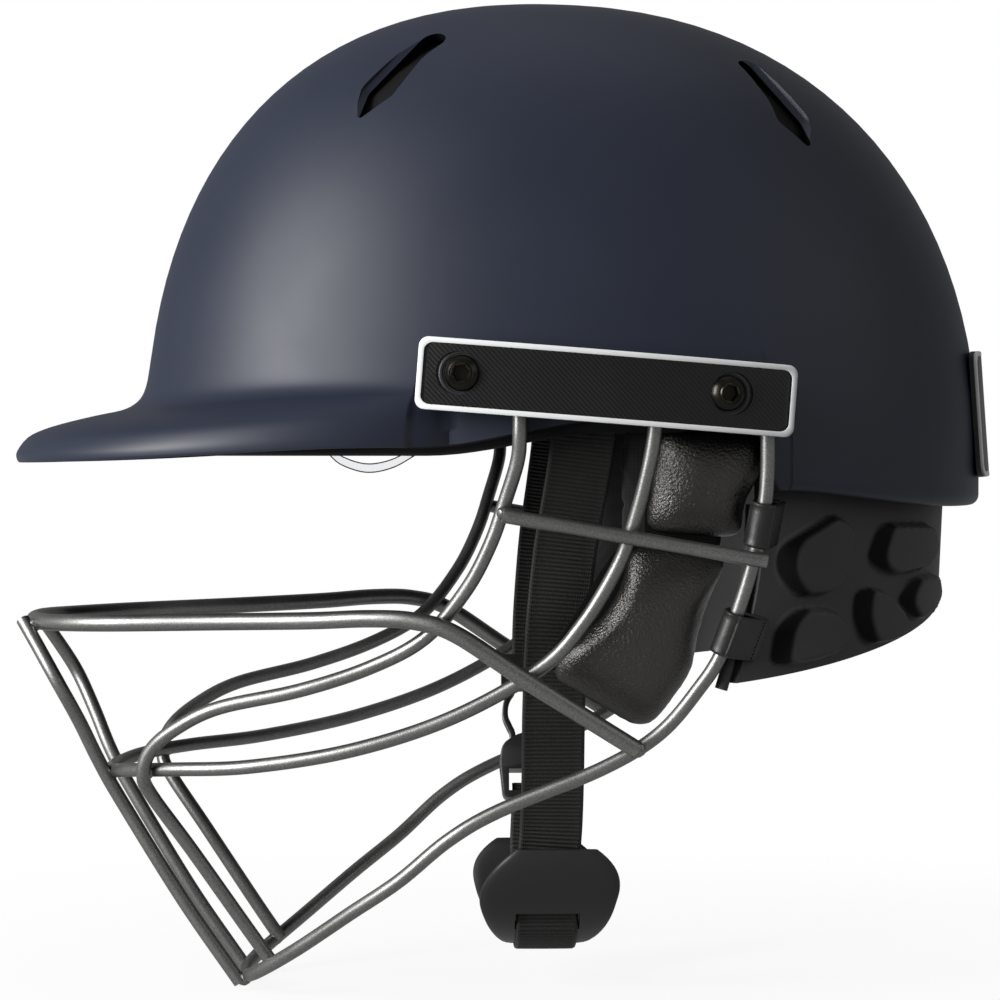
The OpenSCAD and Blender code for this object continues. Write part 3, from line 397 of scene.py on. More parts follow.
def domed(name, sections, crowns, finish):
    """A skin over half sections set round the dome, closed at the crown outside and inside."""
    n, m = len(sections), len(sections[0])
    points = [p for s in sections for p in s] + [(0, 0, WAIST_Z + CROWN_H - inset) for inset in crowns]
    faces = [(i * m + j, i * m + j + 1, (i + 1) % n * m + j + 1, (i + 1) % n * m + j)
             for i in range(n) for j in range(m - 1)]
    faces += [(n * m, i * m, (i + 1) % n * m) for i in range(n)]
    faces += [(n * m + 1, (i + 1) % n * m + m - 1, i * m + m - 1) for i in range(n)]
    return moulded(name, points, faces, finish)


def shell_section(a):
    """One upright cut through half of the shell: down the outside, round the rim, up the inside."""
    rows = smooth_route(PEAK_ROWS, 3)
    top = rim_height(a) + PEAK_ROWS[0][0]
    n = dome_power(a)
    f0 = math.degrees(math.asin(((top - WAIST_Z) / CROWN_H) ** (n / 2)))
    climb = [i / (CLIMB + 1) for i in range(1, CLIMB + 1)]
    outer = [dome_point(a, 0, mix(f0, 90, s)) for s in reversed(climb)]
    outer += [wall_point(a, row, False) for row in rows]
    inner = [wall_point(a, row, True) for row in rows[::-1]]
    inner += [dome_point(a, SHELL_WALL, mix(f0, 90, s)) for s in climb]
    low, high = np.array(outer[-1]), np.array(inner[0])
    lip = [mix(low, high, t) - (0, 0, 0.6 * math.sin(math.pi * t)) for t in (0.12, 0.5, 0.88)]
    return outer + [tuple(p) for p in lip] + inner


def slot_ring(length, grow, z):
    """Outline of a vent, blunt above and pointed below: the hull of three circles."""
    circles = [(VENT_W * 0.33 - length / 2, VENT_W * 0.33), (length / 5, VENT_W / 2),
               (length / 2 - VENT_TIP / 2, VENT_TIP / 2)]
    ring = []
    for k in range(72):
        u = (cosd(k * 5), sind(k * 5))
        x, r = max(circles, key=lambda c: c[0] * u[0] + c[1])
        ring.append((x + (r + grow) * u[0], (r + grow) * u[1], z))
    return ring


def vent_tool(a, share, turn, length):
    """A cutter for one vent: a chamfered mouth over a slot that widens inwards. The slot's walls carry the
    near-black finish, painted shade inside the vent.
    """
    z = WAIST_Z + share * CROWN_H
    r = dome_radius(a, 0, z)
    slope = math.degrees(math.atan2(dome_radius(a, 0, z - 1) - dome_radius(a, 0, z + 1), 2))
    levels = ((1.6, -10), (0.6, -3), (-0.7, -1.5), (0.6, 0.2), (0.6, 6))
    tool = skinned("vent_tool", [slot_ring(length, grow, z) for grow, z in levels], navy_shell)
    tool.data.materials.append(bare_black_and_shade)
    for face in tool.data.polygons:
        face.material_index = int(face.center.z < -0.0015)
    spot = Matrix.Translation(Vector(on_plan(a, r, z)) * 0.001)
    tool.data.transform(spot @ turned(0, 0, 180 - a) @ turned(0, 90 - slope, 0) @ turned(0, 0, turn))
    return tool


turns = sorted({round(i * 1.5, 3) for i in range(240)}
               | {round(s * (edge + d), 3) % 360 for edge in EAR_BAND for s in (1, -1)
                  for d in (-0.12, 0.12)})
sections = [shell_section(a) for a in turns]
shell = domed("shell", sections, (0, SHELL_WALL), navy_shell)
shell.data.materials.append(bare_black_and_shade)
cols = len(sections[0])
rim_col = CLIMB + len(smooth_route(PEAK_ROWS, 3))
# The rim's lip and the inside take the near-black finish: bare ABS, and painted shade under the rim.
for face in shell.data.polygons:
    face.material_index = int(min(i % cols for i in face.vertices) >= rim_col
                              and max(face.vertices) < len(sections) * cols)
for vent in VENTS:
    for _, s in SIDES:
        tool = vent_tool(*vent)
        tool.data.transform(Matrix.Diagonal((1, s, 1, 1)))
        if s < 0:
            tool.data.flip_normals()
        shell = cut_out(shell, tool)
settle(shell, "shell", "outer_shell")


# Impact liner: one moulding of dense black foam that is glued in under the shell. Its
# rounded lower edge shows as a dark band below the rim. Its colour is darker than the foam
# alone, painted shade for the dark seen through the vents.
LINER_IN = SHELL_WALL + 0.9
LINER_T = 12.0
PADS_IN = LINER_IN + LINER_T + 1.2
FOAM_CELLS = 700.0
EDGE_FRONT = 14.7
EDGE_EAR = 7
EDGE_NAPE = 23.6
EDGE_ROUND = 4


def liner_edge(a):
    x = -plan_radius(a, 0) * cosd(a)
    return mix(EDGE_FRONT + EDGE_EAR * ease((x - EAR_FRONT_X) / EAR_RISE), EDGE_NAPE, ease((x - 40) / 20))


def foam_cells(add, base, height):
    """Closed foam cells a millimetre or two across."""
    cells = add("TexVoronoi", {"Vector": here(add), "Scale": FOAM_CELLS}, feature="DISTANCE_TO_EDGE")
    return base, ramp(add, cells, 0, 0.25)


# Near black: the foam's own black, darkened further as painted shade under the vents.
black_foam_and_shade = finish_of(
    "black liner foam", ((0.0016, 0.0016, 0.0018), (0.0035, 0.0035, 0.004)), (0.62, 0.8), 0.8, (0.25, 0.1),
    extra=foam_cells, Specular_IOR_Level=0.2)


def liner_section(a):
    out, inn = LINER_IN, LINER_IN + LINER_T
    z0 = liner_edge(a) + EDGE_ROUND
    n = dome_power(a)
    climb = [s / 15 for s in range(1, 15)]
    f_out, f_in = (math.degrees(math.asin(min(1, max(0, (z0 - WAIST_Z) / (CROWN_H - k))) ** (n / 2)))
                   for k in (out, inn))
    rim = dome_radius(a, out, z0), dome_radius(a, inn, z0)
    edge = [on_plan(a, mix(*rim, (1 - cosd(t)) / 2), z0 - EDGE_ROUND * sind(t) ** 0.5)
            for t in range(0, 181, 15)]
    return ([dome_point(a, out, mix(f_out, 90, s)) for s in reversed(climb)] + edge
            + [dome_point(a, inn, mix(f_in, 90, s)) for s in climb])


liner = domed("foam_liner", [liner_section(3 * i) for i in range(120)], (LINER_IN, LINER_IN + LINER_T),
              black_foam_and_shade)
settle(liner, "liner", "impact_liner")


# Comfort pads: soft foam under a knitted black cover, stuck inside the liner at the
# brow, the crown, over each ear and at the nape. The cover is stretched tight.
PAD_T = 6.0
PAD_GAP = 0.4
KNIT_LOOPS = 260.0
CUSHION_PRESSURE = 4.0


def knit(add, base, height):
    """Small loops of a knitted cover, from three crossed waves."""
    place = here(add)
    waves = [add("TexWave", {"Vector": place, "Scale": KNIT_LOOPS, "Distortion": 0.6},
                 bands_direction=way).outputs["Fac"] for way in ("X", "Y", "Z")]
    level = calc(add, "MULTIPLY", calc(add, "ADD", calc(add, "ADD", waves[0], waves[1]), waves[2]), 0.33)
    return tint(add, level, (0.006, 0.006, 0.007), base), level


pad_knit = finish_of(
    "knitted pad cover", ((0.018, 0.018, 0.020), (0.026, 0.026, 0.029)), (0.75, 0.9), 0.5, (0.4, 0.15),
    extra=knit, Sheen_Weight=0.3)


def plumped(pieces, voxel, cap):
    """Fills covers: each piece is remeshed, blown up as cloth by at most the cap, and rounded."""
    scene = bpy.context.scene
    rest = {}
    for piece in pieces:
        grid = piece.modifiers.new("grid", "REMESH")
        grid.mode = "VOXEL"
        grid.voxel_size = voxel * 0.001
    pieces = [made_plain(p, 80) for p in pieces]
    for piece in pieces:
        cloth = piece.modifiers.new("cloth", "CLOTH")
        cloth.settings.quality = 5
        cloth.settings.use_pressure = True
        cloth.settings.uniform_pressure_force = CUSHION_PRESSURE
        cloth.settings.effector_weights.gravity = 0
        co = np.empty(len(piece.data.vertices) * 3)
        piece.data.vertices.foreach_get("co", co)
        rest[piece.name] = co.reshape(-1, 3)
    for f in range(1, 21):
        scene.frame_set(f)
    graph = bpy.context.evaluated_depsgraph_get()
    for piece in pieces:
        blown = np.empty(len(piece.data.vertices) * 3)
        piece.evaluated_get(graph).data.vertices.foreach_get("co", blown)
        move = blown.reshape(-1, 3) - rest[piece.name]
        far = np.linalg.norm(move, axis=1, keepdims=True)
        move *= np.minimum(1, cap * 0.001 / np.maximum(far, 1e-9))
        piece.modifiers.clear()
        piece.data.vertices.foreach_set("co", (rest[piece.name] + move).ravel())
    scene.frame_set(1)
    for piece in pieces:
        even = piece.modifiers.new("even", "SMOOTH")
        even.iterations = 4
        rounding = piece.modifiers.new("rounding", "SUBSURF")
        rounding.levels = 1
        rounding.render_levels = 1
    return [made_plain(p, 80) for p in pieces]


def band_pad(name, a0, a1, z0, z1):
    rings = []
    for i in range(33):
        u = i / 32
        a = mix(a0, a1, u)
        full = (PAD_T - 1) * (0.35 + 0.65 * math.sqrt(1 - abs(2 * u - 1) ** 5))
        draw = (z1 - z0) * 0.10 * (2 * u - 1) ** 4
        ring = []
        for q in [(0, t) for t in (0.05, 0.25, 0.5, 0.75, 0.95)] + [
                (1 - abs(cosd(t)) ** 2.4, (1 + cosd(t)) / 2) for t in range(15, 170, 15)]:
            z = mix(z0 + draw, z1 - draw, q[1])
            ring.append(on_plan(a, dome_radius(a, PADS_IN, z) - PAD_GAP - full * q[0], z))
        rings.append(ring)
    return skinned(name, rings, pad_knit)


def crown_cushion():
    under = [(85, 1), (80, 1), (75, 0.98), (70, 0.93), (66, 0.8), (63, 0.5)]
    over = [(f, 0) for f in (62.5, 63.5, 66, 70, 75, 80, 85)]
    rings = [[dome_point(a, PADS_IN + PAD_GAP + (PAD_T - 1) * d, f) for a in range(0, 360, 10)]
             for f, d in under + over]
    return skinned("crown_pad_cover", rings, pad_knit)


pads = [band_pad("brow_pad_cover", -47, 47, 17, 45), band_pad("ear_pad_cover_left", -111, -65, 43, 67),
        band_pad("ear_pad_cover_right", 65, 111, 43, 67), band_pad("nape_pad_cover", 137, 223, 25, 61),
        crown_cushion()]
pads = plumped(pads, voxel=4.0, cap=1.0)
for piece, node in zip(pads, ("front_pad", "side_pad_left", "side_pad_right", "rear_pad", "crown_pad")):
    settle(piece, "comfort_pad", node)


# Face grille: round steel bars, bent over formers and welded where they cross, then
# powder coated in a hammered grey. The top rail is the heaviest; the brow bars and the
# middle and chin rails end at the brackets under the side plates.
BAR_D = 4.5
RAIL_D = 5.5
DIMPLES = 2100.0
RAIL_ROUTE = [
    (-166.5, 0, -39), (-165, 15, -39), (-158, 29, -39), (-138.5, 44, -38.5), (-104, 57, -37.5),
    (-74, 70.5, -36.5), (-56, 78.5, -35.5), (-42, 83.5, -36), (-29, 86, -40), (-7, 85, -54.5),
    (27, 81, -76),
]
BROW_ROUTE = [
    (-10, 101.2, 42), (-10, 101.2, 32), (-10, 101, 22), (-10.5, 98.5, 13.5), (-14, 94.5, 1.5),
    (-18.5, 91, -12), (-26, 86, -26.5), (-38.5, 78.5, -41.5), (-55.5, 72, -51),
    (-77.5, 66, -58.5), (-103, 57, -64.5), (-117, 51, -71.5), (-125.5, 46, -79),
    (-128, 43, -87), (-125.5, 39.5, -94), (-113, 35, -112), (-96, 31, -137), (-87, 29.5, -150),
]
MIDDLE_ROUTE = [
    (31, 99.8, 40), (31, 99.8, 32), (31, 99, 22), (28.5, 96, 7.5), (24.5, 91.5, -8), (20, 88, -20),
    (10, 83.5, -37), (-3, 80.5, -51), (-30.5, 76, -66.5), (-61.5, 69.5, -77),
    (-93.5, 58.5, -83), (-118, 45.5, -85), (-133, 31, -86.5), (-140, 15, -88), (-141.5, 0, -88.5),
]
CHIN_ROUTE = [
    (66, 92.7, 36), (66, 92.7, 28), (66, 92.5, 19), (66, 91.5, 9), (65, 90, -2), (61, 86.5, -22),
    (53.5, 81.5, -45), (46, 79, -57.5), (34, 77, -71.5), (16, 75.5, -82.5), (-15, 72, -95.5),
    (-31, 69.5, -105), (-46.5, 63.5, -118.5), (-62, 54, -130), (-79, 41, -143),
    (-91.5, 27, -152), (-97, 13, -156), (-98, 0, -157),
]
NOSE_ROUTE = [
    (-168.5, 22, -38.5), (-164, 26, -45.5), (-156.5, 30.5, -58), (-150, 26, -71),
    (-144, 21.5, -84.5), (-137, 19.5, -97.5), (-117, 17.5, -130.5), (-98.5, 17, -157.5),
]
STRUT = [(-15, 98, -3.3), (65.8, 91.7, -17.5)]


def flip(route, s=-1):
    """The route on the wearer's left (-1) or as it is, on the right (1)."""
    return [(p[0], s * p[1], p[2]) for p in route]


def round_front(route):
    """A route that runs from one side of the helmet round its front to the other."""
    if route[0][1] == 0:
        return flip(route[:0:-1]) + list(route)
    return flip(route) + list(route[-2::-1])


def hammer(add, base, height):
    """Shallow dimples of a hammered coat, with darker paint in them."""
    cells = add("TexVoronoi", {"Vector": here(add), "Scale": DIMPLES}, feature="SMOOTH_F1")
    level = calc(add, "MULTIPLY", calc(add, "ADD", cells, height), 0.55)
    tone = ramp(add, level, 0.2, 0.6)
    return tint(add, tone, (0.12, 0.12, 0.118), base), level


hammered_grey = finish_of(
    "hammered grey coat", ((0.20, 0.20, 0.197), (0.265, 0.263, 0.258)), (0.37, 0.45), 0.45, (0.50, 0.07),
    mottle=14, wear=0.4, worn=(0.5, 0.5, 0.49), extra=hammer, Metallic=0.9)

bar_tree, add, given = new_group(
    "bar along route", "Geometry",
    {"Route": "Geometry", "Diameter": 0.0045, "Sides": 20, "Step": 0.002, "Finish": "Material"},
    {"Bar": "Geometry"})


def finished(add, shape, finish):
    """Ends a geometry tree with real copies in one finish."""
    real = add("RealizeInstances", {"Geometry": shape})
    add("NodeGroupOutput", {0: add("SetMaterial", {"Geometry": real, "Material": finish})})


line = add("MeshToCurve", {"Mesh": given["Route"]})
even = add("ResampleCurve", {"Curve": line, "Length": given["Step"]}, mode="LENGTH")
half = calc(add, "MULTIPLY", given["Diameter"], 0.5)
ring = add("CurvePrimitiveCircle", {"Resolution": given["Sides"], "Radius": half})
bar = add("CurveToMesh", {"Curve": even, "Profile Curve": ring, "Fill Caps": True})
finished(add, bar, given["Finish"])


def grown(name, tree, points, values, edges=True, crease=35, marks=None):
    """Runs a geometry tree on a line or a set of points and keeps the plain mesh."""
    mesh = bpy.data.meshes.new(name + "_path")
    pts = (np.asarray(points, float) * 0.001).tolist()
    mesh.from_pydata(pts, [(i, i + 1) for i in range(len(pts) - 1)] if edges else [], [])
    for label, rows in (marks or {}).items():
        mesh.attributes.new(label, "FLOAT_VECTOR", "POINT").data.foreach_set(
            "vector", np.asarray(rows, float).ravel())
    path = in_scene(name, mesh)
    run = path.modifiers.new("run", "NODES")
    run.node_group = tree
    sockets = {s.name: s.identifier for s in tree.interface.items_tree
               if s.item_type == "SOCKET" and s.in_out == "INPUT"}
    for label, value in values.items():
        run[sockets[label]] = value
    return made_plain(path, crease)


def rod(name, route, steps, diameter, finish, sides=20, step=1.5):
    """A round rod along a smooth route, in millimetres."""
    return grown(name, bar_tree, smooth_route(route, steps),
                 {"Diameter": diameter * 0.001, "Sides": sides, "Step": step * 0.001, "Finish": finish})


def round_bar(name, route, diameter, node, steps=8):
    return settle(rod(name, route, steps, diameter, hammered_grey), "bar", node)


round_bar("top_rail_bar", round_front(RAIL_ROUTE), RAIL_D, "top_rail")
round_bar("middle_rail_bar", round_front(MIDDLE_ROUTE), BAR_D, "middle_rail")
round_bar("chin_rail_bar", round_front(CHIN_ROUTE), BAR_D, "chin_rail")
for side, s in SIDES:
    round_bar("brow_round_" + side, flip(BROW_ROUTE, s), BAR_D, "brow_bar_" + side)
    round_bar("nose_round_" + side, flip(NOSE_ROUTE, s), BAR_D, "nose_bar_" + side)
    round_bar("strut_round_" + side, flip(STRUT, s), BAR_D, "side_strut_" + side, 24)
    recoat(hammered_grey, "grille_bracket_" + side)


# Welds: a small bead of filler where two bars meet, coated with them.
WELD_R = 2.1

weld_tree, add, given = new_group(
    "weld beads", "Geometry",
    {"Places": "Geometry", "Radius": 0.002, "Lumps": 0.0005, "Finish": "Material"}, {"Beads": "Geometry"})
ball = add("MeshIcoSphere", {"Radius": given["Radius"], "Subdivisions": 4})
lump = add("TexNoise", {"Scale": 420.0, "Detail": 1.0}).outputs["Color"]
shift = add("VectorMath", {0: lump, 1: (0.5, 0.5, 0.5)}, operation="SUBTRACT")
move = add("VectorMath", {0: shift, "Scale": calc(add, "MULTIPLY", given["Lumps"], 2.0)}, operation="SCALE")
bead = add("SetPosition", {"Geometry": ball, "Offset": move})
spots = add("MeshToPoints", {"Mesh": given["Places"]})
spin = add("RandomValue", {"Max": (6.28, 6.28, 6.28), "Seed": 7}, data_type="FLOAT_VECTOR")
grow = add("RandomValue", {"Min": (0.85, 0.85, 0.85), "Max": (1.25, 1.25, 1.25), "Seed": 3},
           data_type="FLOAT_VECTOR")
many = add("InstanceOnPoints", {"Points": spots, "Instance": bead, "Rotation": spin, "Scale": grow})
finished(add, many, given["Finish"])


def meeting(one, two):
    """The point midway between two routes where they come nearest on the wearer's right."""
    a = smooth_route(one, 12)
    b = smooth_route(two, 12)
    gap = np.linalg.norm(a[:, None] - b[None], axis=2)
    i, j = np.unravel_index(gap.argmin(), gap.shape)
    return (a[i] + b[j]) / 2


welds = [meeting(BROW_ROUTE, RAIL_ROUTE), meeting(BROW_ROUTE[11:15], MIDDLE_ROUTE),
         meeting(BROW_ROUTE[-3:], CHIN_ROUTE), meeting(NOSE_ROUTE[:3], RAIL_ROUTE),
         meeting(NOSE_ROUTE[3:6], MIDDLE_ROUTE), meeting(NOSE_ROUTE[-2:], CHIN_ROUTE),
         meeting(RAIL_ROUTE[-3:], CHIN_ROUTE), meeting(STRUT, BROW_ROUTE[3:7]),
         meeting(STRUT, MIDDLE_ROUTE[2:6]), meeting(STRUT, CHIN_ROUTE[3:7]),
         meeting(RAIL_ROUTE[-4:], MIDDLE_ROUTE[4:9])]
beads = grown("weld_beads", weld_tree, [*welds, *flip(welds)],
              {"Radius": WELD_R * 0.001, "Lumps": 0.0005, "Finish": hammered_grey}, edges=False)
settle(beads, "bar")


# Side plates: a black moulded base with a raised white rim, bent to an arc over the ear.
# The recess holds a black inset with a diagonal twill, a line of grey dots and two short
# arcs of them as painted highlights for the glints on the twill's ends, and the screws that
# clamp the grille's bracket sit in round pockets in it.
PLATE_LEN = 115.4
PLATE_H = 22.0
PLATE_T = 3.0
PLATE_RIM = 1.7
INSET_T = 1.0
PLATE_CORNER = 3.0
PLATE_AT = (16.5, 35.5)
PLATE_TILT = 4.4
ARC_R = 225.0
ARC_X = 3.0
BEND_STEP = 2.0
STRIP_T = 1.5
PLATE_OUT = BAR_D + 0.3 + STRIP_T + 0.2
RIB_TWILL = 1.1
THREAD_TWILL = 0.34


def arc_y(x, out):
    return SHELL_HALF_W - ARC_R + math.sqrt((ARC_R + out) ** 2 - (x - ARC_X) ** 2)


def on_side(s, t, out):
    """A point of the side plate: along it, up it and out from the shell."""
    x = PLATE_AT[0] + s * cosd(PLATE_TILT) + t * sind(PLATE_TILT)
    return (x, arc_y(x, out), PLATE_AT[1] - s * sind(PLATE_TILT) + t * cosd(PLATE_TILT))


def soft_box(length, height, radius):
    """Rounded rectangle as points, close enough along its sides to bend round an arc."""
    ring = []
    for cx, cy, a0 in ((1, 1, 0), (-1, 1, 90), (-1, -1, 180), (1, -1, 270)):
        for k in range(9):
            a = a0 + k * 11.25
            ring.append((cx * (length / 2 - radius) + radius * cosd(a),
                         cy * (height / 2 - radius) + radius * sind(a)))
    out = []
    for i, p in enumerate(ring):
        q = ring[(i + 1) % len(ring)]
        n = max(1, round(math.dist(p, q) / BEND_STEP))
        out += [(mix(p[0], q[0], k / n), mix(p[1], q[1], k / n)) for k in range(n)]
    return out


black_base = finish_of(
    "black moulded plate", ((0.010, 0.011, 0.014), (0.016, 0.017, 0.021)), (0.38, 0.5), 0.4, (0.1, 0.05),
    wear=0.4, worn=(0.06, 0.06, 0.065))
white_rim = finish_of(
    "white rim", ((0.80, 0.81, 0.82), (0.86, 0.87, 0.87)), (0.30, 0.42), 0.5, (0.08, 0.04), mottle=12,
    wear=0.3, worn=(0.6, 0.6, 0.59))


def framed(name, section, length, height, corner, place):
    """A white rim swept round a rounded rectangle; section rows are distance in and distance out."""
    base = soft_box(length, height, corner)
    rings = []
    for inward, out in section:
        k = 1 - 2 * inward / length, 1 - 2 * inward / height
        rings.append([place(x * k[0], y * k[1], out) for x, y in base])
    n = len(base)
    last = (len(rings) - 1) * n
    faces = band_faces(len(rings), n, True)
    faces += [(last + i, last + (i + 1) % n, (i + 1) % n, i) for i in range(n)]
    return moulded(name, [p for r in rings for p in r], faces, white_rim)


def backed(name, length, height, corner, low, high, place):
    """A bent black slab with rounded corners: strips across it carry the bend."""
    outline = soft_box(length, height, corner)
    rows = []
    for x in sorted({round(p[0], 4) for p in outline}):
        ys = [p[1] for p in outline if abs(p[0] - x) < 1e-3]
        top = max(ys) if max(ys) > 0 else -min(ys)
        rows.append((x, top))
    points = [place(x, s * top, out) for x, top in rows for s, out in
              ((-1, low), (-1, high), (1, high), (1, low))]
    faces = band_faces(len(rows), 4, True) + [(3, 2, 1, 0), tuple(len(points) - 4 + i for i in range(4))]
    return moulded(name, points, faces, black_base)


def plate(name, node, length, height, corner, low, top, lip, place):
    """A black base with a raised white rim round it; the name has a gap for each piece's word."""
    bed = top - INSET_T
    base = backed(name % "base", length, height, corner, low, bed, place)
    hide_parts(node)
    section = [(0.15, bed), (0, bed + 0.2), (0, top - lip), (0.12, top - 0.1), (0.4, top),
               (PLATE_RIM - 0.35, top), (PLATE_RIM - 0.1, top - 0.1), (PLATE_RIM, top - lip),
               (PLATE_RIM, bed)]
    rim = framed(name % "rim", section, length, height, corner, place)
    for piece in (base, rim):
        settle(piece, "plate")


ribs_group, add, given = new_group(
    "ribs", "Shader", {"Vector": "Vector", "Across": (1.0, 0.0, 0.0), "Pitch mm": 1.0}, {"Height": "Float"})
along = add("VectorMath", {0: given["Vector"], 1: given["Across"]}, operation="DOT_PRODUCT")
count = calc(add, "MULTIPLY", along.outputs["Value"], 1000.0)
fold = calc(add, "PINGPONG", calc(add, "DIVIDE", count, given["Pitch mm"]), 0.5)
rise = calc(add, "POWER", calc(add, "MULTIPLY", fold, 2.0), 0.6)
add("NodeGroupOutput", {"Height": rise})


def ribs(add, place, across, pitch):
    return add("Group", {"Vector": place, "Across": across, "Pitch mm": pitch}, node_tree=ribs_group)


def twill_of(name, across, thread):
    """Diagonal ribs of a twill with fine threads laid across them. The colour darkens to near black in the
    grooves between the ribs: painted shade.
    """
    def twill(add, base, height):
        place = here(add)
        rib = ribs(add, place, across, RIB_TWILL)
        level = calc(add, "ADD", rib, calc(add, "MULTIPLY", ribs(add, place, thread, THREAD_TWILL), 0.25))
        # Painted shade: near black in the twill's grooves, the base tone on the ribs.
        return tint(add, ramp(add, rib, 0.35, 0.95), (0.0015, 0.0015, 0.0018), base), level
    return finish_of(
        name, ((0.0095, 0.0095, 0.0108), (0.0140, 0.0140, 0.0152)), (0.30, 0.38), 0.4, (0.6, 0.12),
        extra=twill, Specular_IOR_Level=0.35)


twill_side = twill_of("black twill inset", (0.74, 0, 0.67), (-0.67, 0, 0.74))
twill_rear = twill_of("black twill inset at the back", (0, 0.74, 0.67), (0, -0.67, 0.74))
glint_dot_grey = finish_of(
    "moulded dots", ((0.13, 0.13, 0.135), (0.20, 0.20, 0.205)), (0.3, 0.4), 0.3, (0.1, 0.02))

dots_tree, add, given = new_group(
    "dots along a line", "Geometry",
    {"Line": "Geometry", "Pitch": 0.0016, "Radius": 0.0003, "Finish": "Material"}, {"Dots": "Geometry"})
line = add("MeshToCurve", {"Mesh": given["Line"]})
spots = add("CurveToPoints", {"Curve": line, "Length": given["Pitch"]}, mode="LENGTH")
ball = add("MeshIcoSphere", {"Radius": given["Radius"], "Subdivisions": 2})
finished(add, add("InstanceOnPoints", {"Points": spots, "Instance": ball}), given["Finish"])

TOP = PLATE_OUT + PLATE_T
for side, s in SIDES:
    def place(u, v, out, s=s):
        x, y, z = on_side(u, v, out)
        return (x, s * y, z)
    plate("plate_%s_" + side, "side_plate_" + side, PLATE_LEN, PLATE_H, PLATE_CORNER, PLATE_OUT, TOP,
          0.35, place)
    recoat(twill_side, "plate_inset_" + side)
    # Grey dots along the lower and end edges and in two arcs: painted highlights for the twill's ends
    # catching light.
    low = PLATE_RIM + 1.6 - PLATE_H / 2
    edge = [(u, low) for u in range(-52, 53, 2)] + [(52.6, v) for v in (-6, -3, 0, 3, 6, 8)]
    arcs = [[(u + 8.1 * cosd(a), 0.9 + 8.1 * sind(a)) for a in range(68, 168, 8)] for u in (-43.0, 34.5)]
    for k, line in enumerate([edge, *arcs]):
        dots = grown(
            "inset_dots_%d_%s" % (k, side), dots_tree, [place(u, v, TOP - INSET_T) for u, v in line],
            {"Pitch": 0.0014, "Radius": 0.00028, "Finish": glint_dot_grey})
        settle(dots, "inset")


# Rear plate: the same make of plate, bent round the back of the shell over the nape.
REAR_PLATE = (62.0, 41.0)
REAR_CORNER = 4
REAR_ARC_R = 81.0
REAR_Z = 28.5
REAR_LEAN = 4.0


def on_rear(u, v, out):
    """A point of the rear plate: along it, up it and out from its bed."""
    turn = u / REAR_ARC_R
    r = REAR_ARC_R + out
    local = Vector((r * math.cos(turn) - REAR_ARC_R, r * math.sin(turn), v))
    local.rotate(Euler((0, math.radians(-REAR_LEAN), 0)))
    return (local.x + dome_radius(180, 0, REAR_Z) + 0.3, local.y, local.z + REAR_Z)


plate("rear_plate_%s", "rear_plate", *REAR_PLATE, REAR_CORNER, 0.1, 2.5, 0.3, on_rear)
recoat(twill_rear, "rear_inset")


# Grille screws: M6 button heads in black oxide, with a hexagon socket and a turned
# ring round it, each on a rubber spacer and in a plated nut behind the shell.
SCREW_MID = (12.3, 36.6)
SCREW_PITCH = 77.6
HEAD_D = 11.0
HEAD_H = 3.3
SOCKET_D = 4.6

black_oxide = finish_of(
    "black oxide steel", ((0.012, 0.0115, 0.009), (0.024, 0.0225, 0.017)), (0.22, 0.34), 0.5, (0.15, 0.05),
    mottle=5, wear=0.6, worn=(0.12, 0.115, 0.09), Metallic=0.9)
dark_rubber = finish_of(
    "black rubber", ((0.012, 0.012, 0.013), (0.018, 0.018, 0.019)), (0.6, 0.75), 0.4, (0.2, 0.08))
plated = finish_of(
    "zinc plate", ((0.45, 0.45, 0.46), (0.58, 0.58, 0.58)), (0.3, 0.45), 0.4, (0.15, 0.05), mottle=6,
    Metallic=1.0)


def button_head():
    """Half of a turned section, its middle a hexagon socket."""
    r = HEAD_D / 2
    rows = [(r - 0.1, -0.02), (r, 0.25), (r, 0.75), (r * 0.985, 1.05), (r * 0.93, 1.65), (r * 0.84, 2.2),
            (r * 0.72, 2.75), (r * 0.66, 2.95), (r * 0.62, 2.9), (r * 0.585, 2.95), (r * 0.53, HEAD_H)]
    rings = [[(q * cosd(a), q * sind(a), z) for a in range(0, 360, 6)] for q, z in rows]

    def hexagon(size, z):
        return [(size / math.cos(math.radians((a % 60) - 30)) * cosd(a),
                 size / math.cos(math.radians((a % 60) - 30)) * sind(a), z) for a in range(0, 360, 6)]
    rings += [hexagon(SOCKET_D / 2 + 0.15, HEAD_H), hexagon(SOCKET_D / 2, HEAD_H - 0.15),
              hexagon(SOCKET_D / 2, HEAD_H - 2)]
    return skinned("button_head", rings, black_oxide, 30)


screw_tree, add, given = new_group(
    "screws in their places", "Geometry",
    {"Places": "Geometry", "Head": "Object", "Finish": "Material"}, {"Screws": "Geometry"})
head = add("ObjectInfo", {"Object": given["Head"]}).outputs["Geometry"]
spots = add("MeshToPoints", {"Mesh": given["Places"]})
aim = add("AlignRotationToVector",
          {"Vector": add("InputNamedAttribute", {"Name": "out"}, data_type="FLOAT_VECTOR")}, axis="Z")
many = add("InstanceOnPoints", {"Points": spots, "Instance": head, "Rotation": aim})
finished(add, many, given["Finish"])

spots, ways = [], []
for _, s in SIDES:
    for k in (-1, 1):
        x = SCREW_MID[0] + k * SCREW_PITCH / 2 * cosd(PLATE_TILT)
        z = SCREW_MID[1] - k * SCREW_PITCH / 2 * sind(PLATE_TILT)
        turn = math.asin((x - ARC_X) / ARC_R)
        seat = TOP - INSET_T + 0.02
        spots.append((x + seat * math.sin(turn), s * (arc_y(x, 0) + seat * math.cos(turn)), z))
        ways.append((math.sin(turn), s * math.cos(turn), 0))

